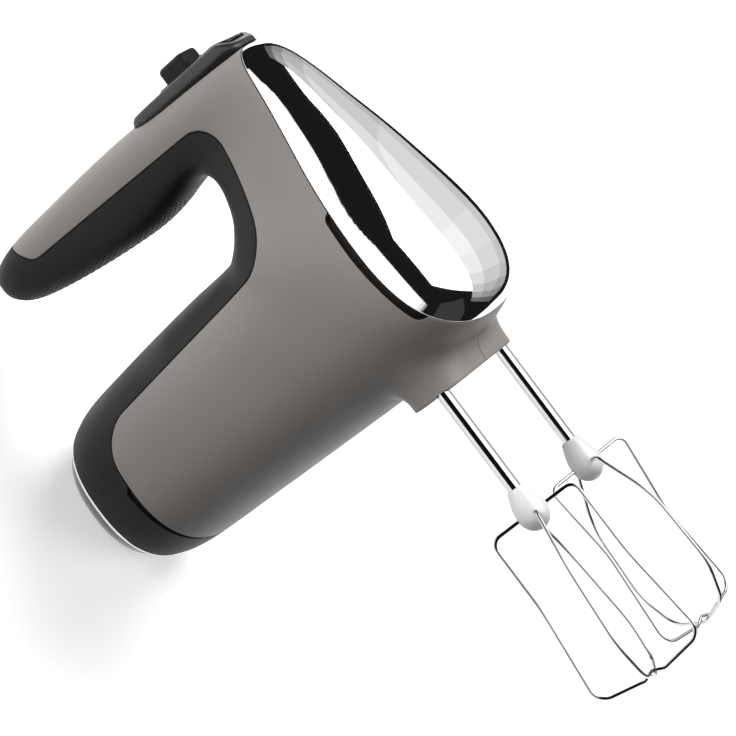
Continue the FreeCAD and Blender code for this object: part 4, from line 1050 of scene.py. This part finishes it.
@dataclass
class Housing:
    """Painted housing halves, nose cap, vent recesses, black liner, heel trim and heel cap."""

    form: CForm = field(default_factory=CForm)
    collar: Collar = field(default_factory=Collar)
    wall: float = 2.0 * MM
    gap: float = 0.32 * MM
    edge: float = 0.5 * MM
    seam_gap: float = 0.07 * MM
    trim_low: float = 15.2 * MM
    trim_high: float = 16.8 * MM
    slot_start: float = -19.0
    slot_end: float = 15.0
    slot_width: float = 3.2 * MM
    gland_radius: float = 7.1 * MM
    hole_radius: float = 4.4 * MM

    def marked(self) -> Skin:
        """The form with its distances to every line that splits it."""
        skin = self.form.skin()
        points = skin.points
        joint, joint_slope = joint_line().distance(points)
        nose, nose_slope = nose_line().distance(points)
        vent, vent_slope = vent_line().distance(points)
        skin.mark("joint", joint, joint_slope)
        below = (points[:, 0] - CENTRE_LINE) / MM
        share = np.clip((below - self.slot_start) / (self.slot_end - self.slot_start), 0.0, 1.0)
        opening = ease(self.slot_start - 1.0, self.slot_start + 1.5, below) * (1.0 - share) ** 0.8
        opening = opening * (points[:, 2] < PLANE - 0.1)
        skin.mark("liner", -joint - self.slot_width * opening, -joint_slope)
        skin.mark("nose", nose, nose_slope)
        skin.mark("cap", -nose, -nose_slope)
        skin.mark("vent", vent, vent_slope)
        either = nose - self.gap < vent
        front = np.where(either, nose - self.gap, vent)
        skin.mark("front", front, np.where(either[:, None], nose_slope, vent_slope))
        across = np.zeros_like(points)
        across[:, 1] = 1.0
        skin.mark("left", points[:, 1], across)
        skin.mark("right", -points[:, 1], -across)
        skin.mark("foot", *self.collar.distance(points, 1.5))
        skin.mark("well", *ButtonPlan().distance(points, 0.8))
        up = np.zeros_like(points)
        up[:, 2] = 1.0
        skin.mark("above_trim", points[:, 2] - self.trim_high, up)
        skin.mark("below_trim", self.trim_low - points[:, 2], -up)
        hole = points - at(-128.0, -14.0)
        hole[:, 1] = 0.0
        ring = np.linalg.norm(hole, axis=1)
        skin.mark("gland", np.where(points[:, 1] > 0.0, ring - self.gland_radius, 1.0), unit(hole))
        return skin

    def painted(self, form: Skin, side: Side) -> Skin:
        """One painted half with its share of the collar."""
        half = form.trimmed(side.label, self.seam_gap, 0.22 * MM, 3)
        half = half.trimmed("joint", self.gap, self.edge)
        half = half.trimmed("front", 0.0, 0.6 * self.edge)
        half = half.cut("foot").cut("well")
        if side is Side.LEFT:
            half = half.trimmed("gland", 0.0, 0.3 * MM)
        collar = self.collar.skin(form)
        across = np.zeros_like(collar.points)
        across[:, 1] = side.value
        collar.mark("seam", collar.points[:, 1] * side.value, across)
        away = collar.points - np.array([0.0, side.value * SPREAD, PLANE])
        away[:, 0] = 0.0
        low = collar.points[:, 0] > CENTRE_LINE + (self.collar.foot - 1.0) * MM
        collar.mark("hole", np.where(low, np.linalg.norm(away, axis=1) - self.hole_radius, 1.0), unit(away))
        collar = collar.trimmed("seam", self.seam_gap, 0.22 * MM, 3).trimmed("hole", 0.0, 0.4 * MM)
        return half.closed(self.wall).joined(collar.closed(self.wall))

    def nose_cap(self, form: Skin) -> Skin:
        """The polished cap over the nose."""
        return form.trimmed("cap", 0.05 * MM, 0.6 * self.edge).closed(self.wall)

    def vent(self, form: Skin, side: Side) -> Skin:
        """The floor of the recess beside the cap, which gets deeper towards the cap."""
        skin = form.cut(side.label, 3.0 * MM)
        skin = flipped(skin, "vent").cut("vent", -0.7 * MM)
        skin = skin.cut("nose", -2.2 * MM)
        depth = 0.7 * MM + 1.7 * MM * ease(-0.4 * MM, 2.6 * MM, skin.marks["vent"][:, 0])
        return Skin(skin.points - skin.normals * depth[:, None], skin.normals, skin.faces).closed(0.6 * MM)

    def liner(self, form: Skin) -> Skin:
        """The black liner round the hand opening, down to the heel trim."""
        skin = form.trimmed("liner", 0.02 * MM, self.edge)
        return skin.trimmed("above_trim", 0.1 * MM, 0.3 * MM).closed(self.wall)

    def heel_trim(self, form: Skin) -> Skin:
        """The bright line round the heel, standing a little proud."""
        skin = form.kept(form.points[form.faces, 2].mean(axis=1) < self.trim_high + 3.0 * MM)
        skin = skin.shifted(np.full(len(skin.points), -0.3 * MM))
        skin = flipped(skin, "above_trim").trimmed("above_trim", 0.0, 0.4 * MM)
        skin = flipped(skin, "below_trim").trimmed("below_trim", 0.0, 0.4 * MM)
        return skin.closed(1.6 * MM)

    def heel_cap(self, form: Skin) -> Skin:
        """The cap of the heel, below the trim."""
        return form.trimmed("below_trim", 0.1 * MM, 0.3 * MM).closed(self.wall)

    def gap_shade_strips(self, form: Skin) -> Skin:
        """Near-black strips just inside the walls, behind the joints and the nose edge: painted shade, so
        that the gaps show dark.
        """
        near = np.minimum(np.abs(form.marks["joint"][:, 0]), np.abs(form.marks["nose"][:, 0]))
        strip = form.kept(near[form.faces].max(axis=1) < 6.0 * MM).cut("well")
        strip = strip.shifted(np.full(len(strip.points), self.wall + 0.1 * MM))
        return strip.closed(0.4 * MM)

    def grip_dots(self) -> Skin:
        """Small domes in diagonal rows on the underside of the grip.

        Each dome is a ring of eight points and a top, stood on the form's surface along its normal.
        """
        rows, columns = 46, 15
        share = np.linspace(0.045, 0.255, rows)
        step = np.linspace(math.pi - 0.95, math.pi + 0.95, columns)
        half_step = 0.5 * (step[1] - step[0])
        found = []
        for offset in (0, 1):
            part = share[offset::2]
            angle = step + half_step * offset
            here = self.form.surface(part, angle)
            along = self.form.surface(part + 1e-4, angle) - here
            across = self.form.surface(part, angle + 1e-3) - here
            normal = unit(np.cross(along, across))
            found.append(np.concatenate([here, normal, unit(along)], axis=2).reshape(-1, 9))
        found = np.vstack(found)
        place, normal, along = found[:, 0:3], found[:, 3:6], found[:, 6:9]
        if ((place - at(-100.0, -114.0)) * normal * np.array([1.0, 1.0, 0.0])).sum() < 0.0:
            normal = -normal
        across = np.cross(normal, along)
        turn = np.linspace(0.0, 2.0 * math.pi, 8, endpoint=False)
        rings = []
        for radius, height in ((0.55, -0.15), (0.42, 0.17)):
            circle = (np.cos(turn)[None, :, None] * along[:, None, :]
                      + np.sin(turn)[None, :, None] * across[:, None, :]) * radius * MM
            rings.append(place[:, None, :] + circle + normal[:, None, :] * height * MM)
        top = place[:, None, :] + normal[:, None, :] * 0.28 * MM
        points = np.concatenate(rings + [top], axis=1)
        count = len(place)
        k = np.arange(8)
        n = (k + 1) % 8
        pattern = np.vstack([np.column_stack([k, n, n + 8]), np.column_stack([k, n + 8, k + 8]),
                             np.column_stack([k + 8, n + 8, np.full(8, 16)])])
        faces = (pattern[None] + 17 * np.arange(count)[:, None, None]).reshape(-1, 3)
        flat = points.reshape(-1, 3)
        normals = unit(np.concatenate([
            (rings[0] - place[:, None, :]) + 0.3 * normal[:, None, :] * MM,
            (rings[1] - place[:, None, :]) + 0.5 * normal[:, None, :] * MM, normal[:, None, :] * MM], axis=1))
        return Skin(flat, normals.reshape(-1, 3), faces)

    def build(self) -> None:
        """Make and dress every piece of the housing."""
        form = self.marked()
        for side in Side:
            label = side.label
            make_piece("painted_half_" + label, self.painted(form, side), "housing_" + label, "housing",
                       SATIN_TAUPE)
            make_piece("vent_floor_" + label, self.vent(form, side), "vent_insert_" + label, "housing",
                       VENT_BLACK)
        pieces = (
            ("nose_shell", self.nose_cap(form), "nose_cap", "chrome", CHROME),
            ("grip_and_back_liner", self.liner(form), "grip_liner", "soft_black", SOFT_BLACK),
            ("heel_bright_line", self.heel_trim(form), "heel_trim", "bright_trim", CHROME),
            ("heel_shoe", self.heel_cap(form), "heel_cap", "gloss_black", GLOSS_BLACK),
            # painted shade: near-black strips behind the joints and the nose edge, so that the gaps read dark
            ("joint_backing", self.gap_shade_strips(form), None, "vent_black", GAP_SHADE_BLACK),
            ("grip_dots", self.grip_dots(), None, "soft_black", SOFT_BLACK))
        for name, skin, node, slot, finish in pieces:
            make_piece(name, skin, node, "housing", finish)


def flipped(skin: Skin, name: str) -> Skin:
    """A copy of a skin with one mark's distance and gradient the other way round."""
    marks = dict(skin.marks)
    marks[name] = -marks[name]
    return Skin(skin.points, skin.normals, skin.faces, marks, skin.roots, skin.root_normals)


# ---------------------------------------------------------------- controls


# the slider's knob, ledge and rear ridge: two corners as (ahead, below, y), and the edges' radius
SLIDER_BLOCKS = (((-31.6, -141.2, -6.0), (-17.0, -132.6, 6.0), 2.2),
                 ((-34.6, -134.5, -7.6), (-15.4, -133.0, 7.6), 0.6),
                 ((-17.6, -136.4, -5.2), (-15.9, -133.4, 5.2), 0.7))


@dataclass
class Controls:
    """The fascia on the handle, the speed slider and the ejector button."""

    fascia_back: float = -57.0
    fascia_front: float = 8.6
    fascia_half: float = 12.5
    fascia_level: float = -133.4
    skirt_level: float = -126.0
    button_level: float = -134.5
    button_skirt: float = -131.4
    squareness: float = 3.6
    rows: int = 30
    columns: int = 120

    def pad(self, back: float, front: float, half: float, level: Callable[[np.ndarray], np.ndarray],
            skirt: float, squareness: float, edge: float) -> Skin:
        """A low pad with a superellipse plan, an upright wall and a rounded upper edge.

        A ring at share s of the plan lies at the level drawn from the length of the pad, and past the last
        millimetre it follows a quarter circle down to the wall.

        Args:
            back: The pad's rear end, ahead of the shafts' plane, in millimetres.
            front: Its front end.
            half: Its half width.
            level: Gives the height of the pad's top for places ahead.
            skirt: Where its wall ends, inside the housing.
            squareness: The exponent of the plan's superellipse.
            edge: The radius of the upper edge.

        Returns:
            The closed skin.
        """
        angle = np.linspace(0.0, 2.0 * math.pi, self.columns, endpoint=False)
        power = 2.0 / squareness
        plan = np.column_stack([np.sign(np.cos(angle)) * np.abs(np.cos(angle)) ** power,
                                np.sign(np.sin(angle)) * np.abs(np.sin(angle)) ** power])
        middle, length = 0.5 * (back + front), 0.5 * (front - back)
        turn = np.linspace(0.0, math.pi / 2.0, 8)
        shares = [(s, 0.0, 0.0) for s in np.linspace(0.0, 0.999, self.rows)]
        shares += [(1.0, edge * math.sin(t), edge * (1.0 - math.cos(t))) for t in turn]
        rings = []
        for share, out, down in shares:
            ahead = middle + plan[:, 0] * (share * (length - edge) + out)
            y = plan[:, 1] * (share * (half - edge) + out)
            x = CENTRE_LINE + (level(ahead) + down) * MM
            rings.append(np.column_stack([x, y * MM, PLANE + ahead * MM]))
        last = rings[-1].copy()
        last[:, 0] = CENTRE_LINE + skirt * MM
        rings += [last, last.mean(axis=0) + 0.0 * last]
        return grid_skin(np.array(rings), True, lambda p: p - at(middle, skirt - 2.0))

    def fascia_top(self, ahead: np.ndarray) -> np.ndarray:
        """The fascia's upper line: level, and falling towards both ends by smooth steps."""
        return (self.fascia_level + 2.6 * (1.0 - ease(self.fascia_back - 1.0, self.fascia_back + 7.0, ahead))
                + 4.6 * ease(0.5, self.fascia_front + 1.4, ahead))

    def button_top(self, ahead: np.ndarray) -> np.ndarray:
        """The button's upper line: level, falling to the front and a little at the back."""
        return self.button_level + 2.4 * ease(-3.0, 8.0, ahead) + 0.4 * ease(-10.0, -16.0, ahead)

    def build(self) -> None:
        """Make and dress the controls."""
        fascia = self.pad(self.fascia_back, self.fascia_front, self.fascia_half, self.fascia_top,
                          self.skirt_level, self.squareness, 1.3)
        fascia.mark("well", *ButtonPlan().distance(fascia.points, 0.3))
        fascia = fascia.trimmed("well", 0.0, 0.2 * MM, 2).closed(1.2 * MM)
        make_piece("fascia_pad", fascia, "control_fascia", "housing", CHARCOAL)
        blocks = [rounded_block(at(*low), at(*high), radius * MM) for low, high, radius in SLIDER_BLOCKS]
        slider = blocks[0].joined(blocks[1]).joined(blocks[2])
        make_piece("slider_knob", slider, "speed_slider", "slider", SOFT_BLACK)
        plan = ButtonPlan()
        button = self.pad(plan.back, plan.front, plan.half, self.button_top, self.button_skirt, 3.2, 0.9)
        make_piece("button_cap", button, "eject_button", "ejector", GLOSS_BLACK)


# ---------------------------------------------------------------- beaters


@dataclass
class Beater:
    """One beater: its shaft, its egg-shaped hub and two crossing wire loops."""

    side: Side
    phase: float
    shaft_radius: float = 3.0
    ear_reach: float = 3.9
    ear_half: float = 0.8
    wire_radius: float = 0.8
    loop_top: float = 80.5
    loop_foot: float = 157.8
    twist: float = 20.0
    hub_top: float = 69.5
    hub_foot: float = 88.2
    hub_radius: float = 6.6
    hub_neck: float = 3.7
    hub_widest: float = 0.6

    def wide_half(self) -> list[tuple[tuple[float, float], float]]:
        """Half of the wide loop, as (distance from the axis, below) and the bend's radius."""
        return [((2.2, self.loop_top), 0.0), ((19.6, self.loop_top), 4.0), ((20.0, 113.0), 60.0),
                ((24.4, self.loop_foot - 3.6), 6.5), ((4.6, self.loop_foot - 0.4), 3.0)]

    def slim_half(self) -> list[tuple[tuple[float, float], float]]:
        """Half of the slim loop, in the same terms."""
        return [((2.2, self.loop_top), 0.0), ((10.4, self.loop_top), 3.0), ((21.6, 104.0), 34.0),
                ((20.6, 138.0), 34.0), ((14.4, self.loop_foot - 4.2), 9.0)]

    def placed(self, radius: float, below: float, phase: float) -> np.ndarray:
        """A loop's corner in space: its radius turned about the shaft, a little further down the beater."""
        share = float(ease(0.0, 40.0, np.array(below - self.loop_top)))
        angle = math.radians(phase + self.side.value * self.twist * share)
        return at(radius * math.cos(angle), below, self.side.value * SPREAD / MM + radius * math.sin(angle))

    def loop(self, half: list[tuple[tuple[float, float], float]], middle: tuple[float, float],
             phase: float) -> Skin:
        """A wire loop out of the hub, down one side, across the axis and back up the other side."""
        corners = [self.placed(radius, below, phase) for (radius, below), _ in half]
        corners.append(self.placed(0.0, middle[0], phase))
        corners += [self.placed(radius, below, phase + 180.0) for (radius, below), _ in reversed(half)]
        bends = [bend for _, bend in half[1:]]
        radii = [r * MM for r in bends + [middle[1]] + bends[::-1]]
        run = subdivided(rounded_run(corners, radii, 0.7 * MM), 2.0 * MM)
        turn = math.radians(phase + self.side.value * 0.5 * self.twist)
        reference = np.array([0.0, math.cos(turn), -math.sin(turn)])
        return tube(run, self.wire_radius * MM, reference)

    def hub_profile(self) -> np.ndarray:
        """The hub's (x, radius) from its flat top to its round foot.

        Up to the widest place the radius follows a quarter of a sine wave, and beyond it a quarter of an
        ellipse.
        """
        share = 0.5 - 0.5 * np.cos(np.linspace(0.0, math.pi, 44))
        flare = self.hub_neck + (self.hub_radius - self.hub_neck) * np.sin(
            0.5 * math.pi * np.clip(share / self.hub_widest, 0.0, 1.0))
        past = np.clip((share - self.hub_widest) / (1.0 - self.hub_widest), 0.0, 1.0)
        radius = np.where(share < self.hub_widest, flare, self.hub_radius * np.sqrt(1.0 - past ** 2))
        x = CENTRE_LINE + (self.hub_top + share * (self.hub_foot - self.hub_top)) * MM
        return np.vstack([[x[0], 0.0], np.column_stack([x, radius * MM])])

    def build(self) -> None:
        """Make and dress the beater's pieces."""
        name, body = self.side.label, "beater_" + self.side.label
        low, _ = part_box("beater_shaft_" + name)
        axis = self.side.value * SPREAD
        centre = np.array([0.0, axis, PLANE])
        end = CENTRE_LINE + (self.hub_top + 3.0) * MM
        r = self.shaft_radius * MM
        profile = np.array([
            (low[0], 0.0), (low[0], r - 0.6 * MM), (low[0] + 0.2 * MM, r - 0.25 * MM), (low[0] + 0.6 * MM, r),
            (low[0] + 20.0 * MM, r), (low[0] + 50.0 * MM, r), (end, r), (end, 0.0)])
        ears = rounded_block(at(-self.ear_reach, 6.0, axis / MM - self.ear_half),
                             at(self.ear_reach, 11.0, axis / MM + self.ear_half), 0.3 * MM, 10)
        shaft = revolved(profile, centre, 40).joined(ears)
        wide = self.loop(self.wide_half(), (self.loop_foot - 2.4, 3.0), self.phase)
        slim = self.loop(self.slim_half(), (self.loop_foot + 0.6, 6.0), self.phase + 90.0)
        hub = revolved(self.hub_profile(), centre)
        make_piece("shaft_" + name, shaft, "beater_shaft_" + name, body, STEEL_WIRE)
        make_piece("wide_loop_" + name, wide, "beater_wire_wide_" + name, body, STEEL_WIRE)
        make_piece("slim_loop_" + name, slim, "beater_wire_slim_" + name, body, STEEL_WIRE)
        make_piece("hub_" + name, hub, "beater_hub_" + name, body, EGG_WHITE)


# ---------------------------------------------------------------- carried-over nodes, stage and camera


def dress_nodes() -> None:
    """Give every CAD node that is still shown the finish of its material slot."""
    slots = {part["node"]: part["material_slot"] for part in frame["record"]["subparts"]}
    for name, node in frame["nodes"].items():
        finish = SLOT_FINISH[slots[name]].material()
        if not node.material_slots:
            node.data.materials.append(finish)
        for material_slot in node.material_slots:
            material_slot.material = finish


# The panels overhead and beyond lean back at 45 degrees, and their places are shares of their reach.
# The one overhead: (name, side, low end, high end, width, radiance).
OVERHEAD = ("overhead", -0.05, 0.3, 2.36, 1.5, 3.6)
# Rows of strips beyond: (low end, high end, share of the brightness).
BEYOND_ROWS = ((-0.74, -0.4, 0.62), (-0.4, -0.05, 0.78), (-0.05, 0.3, 0.98))
STRIP_WIDTH = 0.212
LEAST_RADIANCE = 0.03
# Upright panels behind the viewer: (name, left end, right end, top, radiance).
NEAR_PANELS = [("near_far_left", -2.4, -1.58, 0.92, 1.25), ("near_middle", -0.8, 1.0, 1.62, 1.3),
               ("near_right", 1.0, 1.2, 1.62, 0.85), ("near_fade", 1.2, 1.34, 1.62, 0.35)]
NEAR_PANELS += [("near_left_%d" % i, -1.6 + 0.08 * i, -1.51 + 0.08 * i, 0.92 + 0.7 * (i / 10.0) ** 0.8, 1.27)
                for i in range(10)]
NEAR_DISTANCE = -1.5
# Broad washes on the matt surfaces: (azimuth from +Y towards +X, elevation, irradiance)
WASHES = ((-127.0, 7.0, 1.08), (-30.0, 58.0, 0.88), (-90.0, 8.0, 0.1), (60.0, 46.0, 0.32), (180.0, 8.0, 0.1))
WASH_ANGLE = 40.0


@dataclass
class Studio:
    """A pale floor, soft lights and the camera."""

    floor_half: float = 2.2
    distance: float = 1.1145
    lens: float = 139.0
    panel_reach: float = 1.3

    def floor(self) -> None:
        """A plain pale floor under the heel."""
        points = np.array([(-1, -1, 0), (1, -1, 0), (1, 1, 0), (-1, 1, 0)], dtype=float) * self.floor_half
        mesh = bpy.data.meshes.new("floor")
        mesh.from_pydata(points.tolist(), [], [(0, 1, 2, 3)])
        floor = bpy.data.objects.new("floor", mesh)
        bpy.context.scene.collection.objects.link(floor)
        pale = Finish("pale_floor", (0.93, 0.93, 0.93), (0.9, 0.9, 0.9), smooth=0.8, rough=0.95,
                      cloud_scale=2.0, fleck_share=0.05, relief_strength=0.02, specular=0.1, glow=0.42)
        mesh.materials.append(pale.material())
        floor.visible_diffuse = False

    @staticmethod
    def panel(name: str, centre: Sequence[float], away: Sequence[float], width: float, height: float,
              radiance: float) -> None:
        """A soft rectangular panel. Its power is pi times its area times its radiance.

        Args:
            name: The panel's name.
            centre: Its middle, in metres.
            away: The direction of its back.
            width: Its width, along X.
            height: Its height.
            radiance: How bright it looks.
        """
        lamp = bpy.data.lights.new(name, "AREA")
        lamp.shape = "RECTANGLE"
        lamp.size, lamp.size_y, lamp.energy = width, height, math.pi * width * height * radiance
        stand = bpy.data.objects.new(name, lamp)
        stand.location = Vector(centre)
        stand.rotation_mode = "QUATERNION"
        stand.rotation_quaternion = Vector(away).to_track_quat("Z", "Y")
        stand.visible_camera = False
        stand.visible_diffuse = False
        bpy.context.scene.collection.objects.link(stand)

    @staticmethod
    def wash(name: str, azimuth: float, elevation: float, irradiance: float) -> None:
        """A broad wash of light from one direction, seen by matt surfaces only.

        Args:
            name: The lamp's name.
            azimuth: Where it comes from, in degrees from +Y towards +X.
            elevation: Its height above the floor, in degrees.
            irradiance: What a facing white surface gets, where one shows as full white.
        """
        turn, rise = math.radians(azimuth), math.radians(elevation)
        lamp = bpy.data.lights.new(name, "SUN")
        lamp.energy, lamp.angle = math.pi * irradiance, math.radians(WASH_ANGLE)
        stand = bpy.data.objects.new(name, lamp)
        stand.rotation_mode = "QUATERNION"
        source = Vector((math.cos(rise) * math.sin(turn), math.cos(rise) * math.cos(turn), math.sin(rise)))
        stand.rotation_quaternion = source.to_track_quat("Z", "Y")
        stand.visible_glossy = False
        bpy.context.scene.collection.objects.link(stand)

    @staticmethod
    def spare_steel() -> None:
        """Keep the panels behind the viewer out of the polished steel, so that its dark band shows."""
        spared = [piece for piece in bpy.data.objects if piece.type == "MESH"
                  and piece.data.materials and piece.data.materials[0].name == STEEL_WIRE.name]
        group = bpy.data.collections.new("spared_from_near_panels")
        for piece in spared:
            group.objects.link(piece)
        for member in group.collection_objects:
            member.light_linking.link_state = "EXCLUDE"
        for name, *_ in NEAR_PANELS:
            bpy.data.objects[name].light_linking.receiver_collection = group

    def lights(self) -> None:
        """A leaning panel overhead, rows of strips beyond, the upright panels, the washes and a dim surround.

        In a row beyond, the strip at x has the radiance least + share * (1 - |x / 1.15| ^ 1.6).
        """
        lean = Vector((0.0, 1.0, 1.0)).normalized()
        climb = Vector((0.0, -1.0, 1.0)).normalized()
        aim = Vector((0.0, 0.0, 0.15))
        reach = self.panel_reach
        strips = [OVERHEAD]
        for row, (low, high, share) in enumerate(BEYOND_ROWS):
            for index, side in enumerate(np.linspace(-1.05, 1.05, 11)):
                radiance = LEAST_RADIANCE + share * (1.0 - abs(side / 1.15) ** 1.6)
                strips.append(("beyond_%d_%d" % (row, index), float(side), low, high, STRIP_WIDTH, radiance))
        for name, side, low, high, width, radiance in strips:
            middle = aim + lean * reach + climb * (0.5 * (low + high) * reach)
            middle.x = side * reach
            self.panel(name, middle, lean, width * reach, (high - low) * reach, radiance)
        for name, left, right, top, radiance in NEAR_PANELS:
            centre = (0.5 * (left + right), NEAR_DISTANCE, 0.5 * top)
            self.panel(name, centre, (0.0, -1.0, 0.0), right - left, top, radiance)
        self.panel("grey_side", (1.45, -0.3, 0.6), (1.0, 0.0, 0.0), 1.2, 2.4, 0.035)
        for index, (azimuth, elevation, irradiance) in enumerate(WASHES):
            self.wash("wash_%d" % index, azimuth, elevation, irradiance)
        world = bpy.data.worlds.new("surround")
        world.use_nodes = True
        set_inputs(world.node_tree.nodes["Background"], {"Color": (0.5, 0.51, 0.52, 1.0), "Strength": 0.02})
        bpy.context.scene.world = world
        bpy.context.scene.view_settings.view_transform = "Standard"

    def camera(self) -> None:
        """The camera, looking down at the right side with the beaters to the lower right."""
        data = bpy.data.cameras.new("camera")
        data.lens = self.lens
        data.sensor_width = 36.0
        data.clip_start, data.clip_end = 0.05, 20.0
        camera = bpy.data.objects.new("camera", data)
        bpy.context.scene.collection.objects.link(camera)
        back = Vector((0.0, -0.788, 0.6157)).normalized()
        up = Vector((-0.7997, 0.3697, 0.4731))
        up = (up - back * up.dot(back)).normalized()
        right = up.cross(back)
        target = Vector((CENTRE_LINE, 0.0, PLANE - 39.8 * MM))
        turn = Matrix((right, up, back)).transposed()
        camera.matrix_world = Matrix.Translation(target + back * self.distance) @ turn.to_4x4()
        bpy.context.scene.camera = camera

    def build(self) -> None:
        """Set up the floor, the lights and the camera."""
        self.floor()
        self.lights()
        self.camera()


def main() -> None:
    """Build the mixer piece by piece."""
    Studio().build()
    Housing().build()
    Controls().build()
    Beater(Side.RIGHT, 44.0).build()
    Beater(Side.LEFT, 61.0).build()
    dress_nodes()
    Studio.spare_steel()


if __name__ == "__main__":
    main()
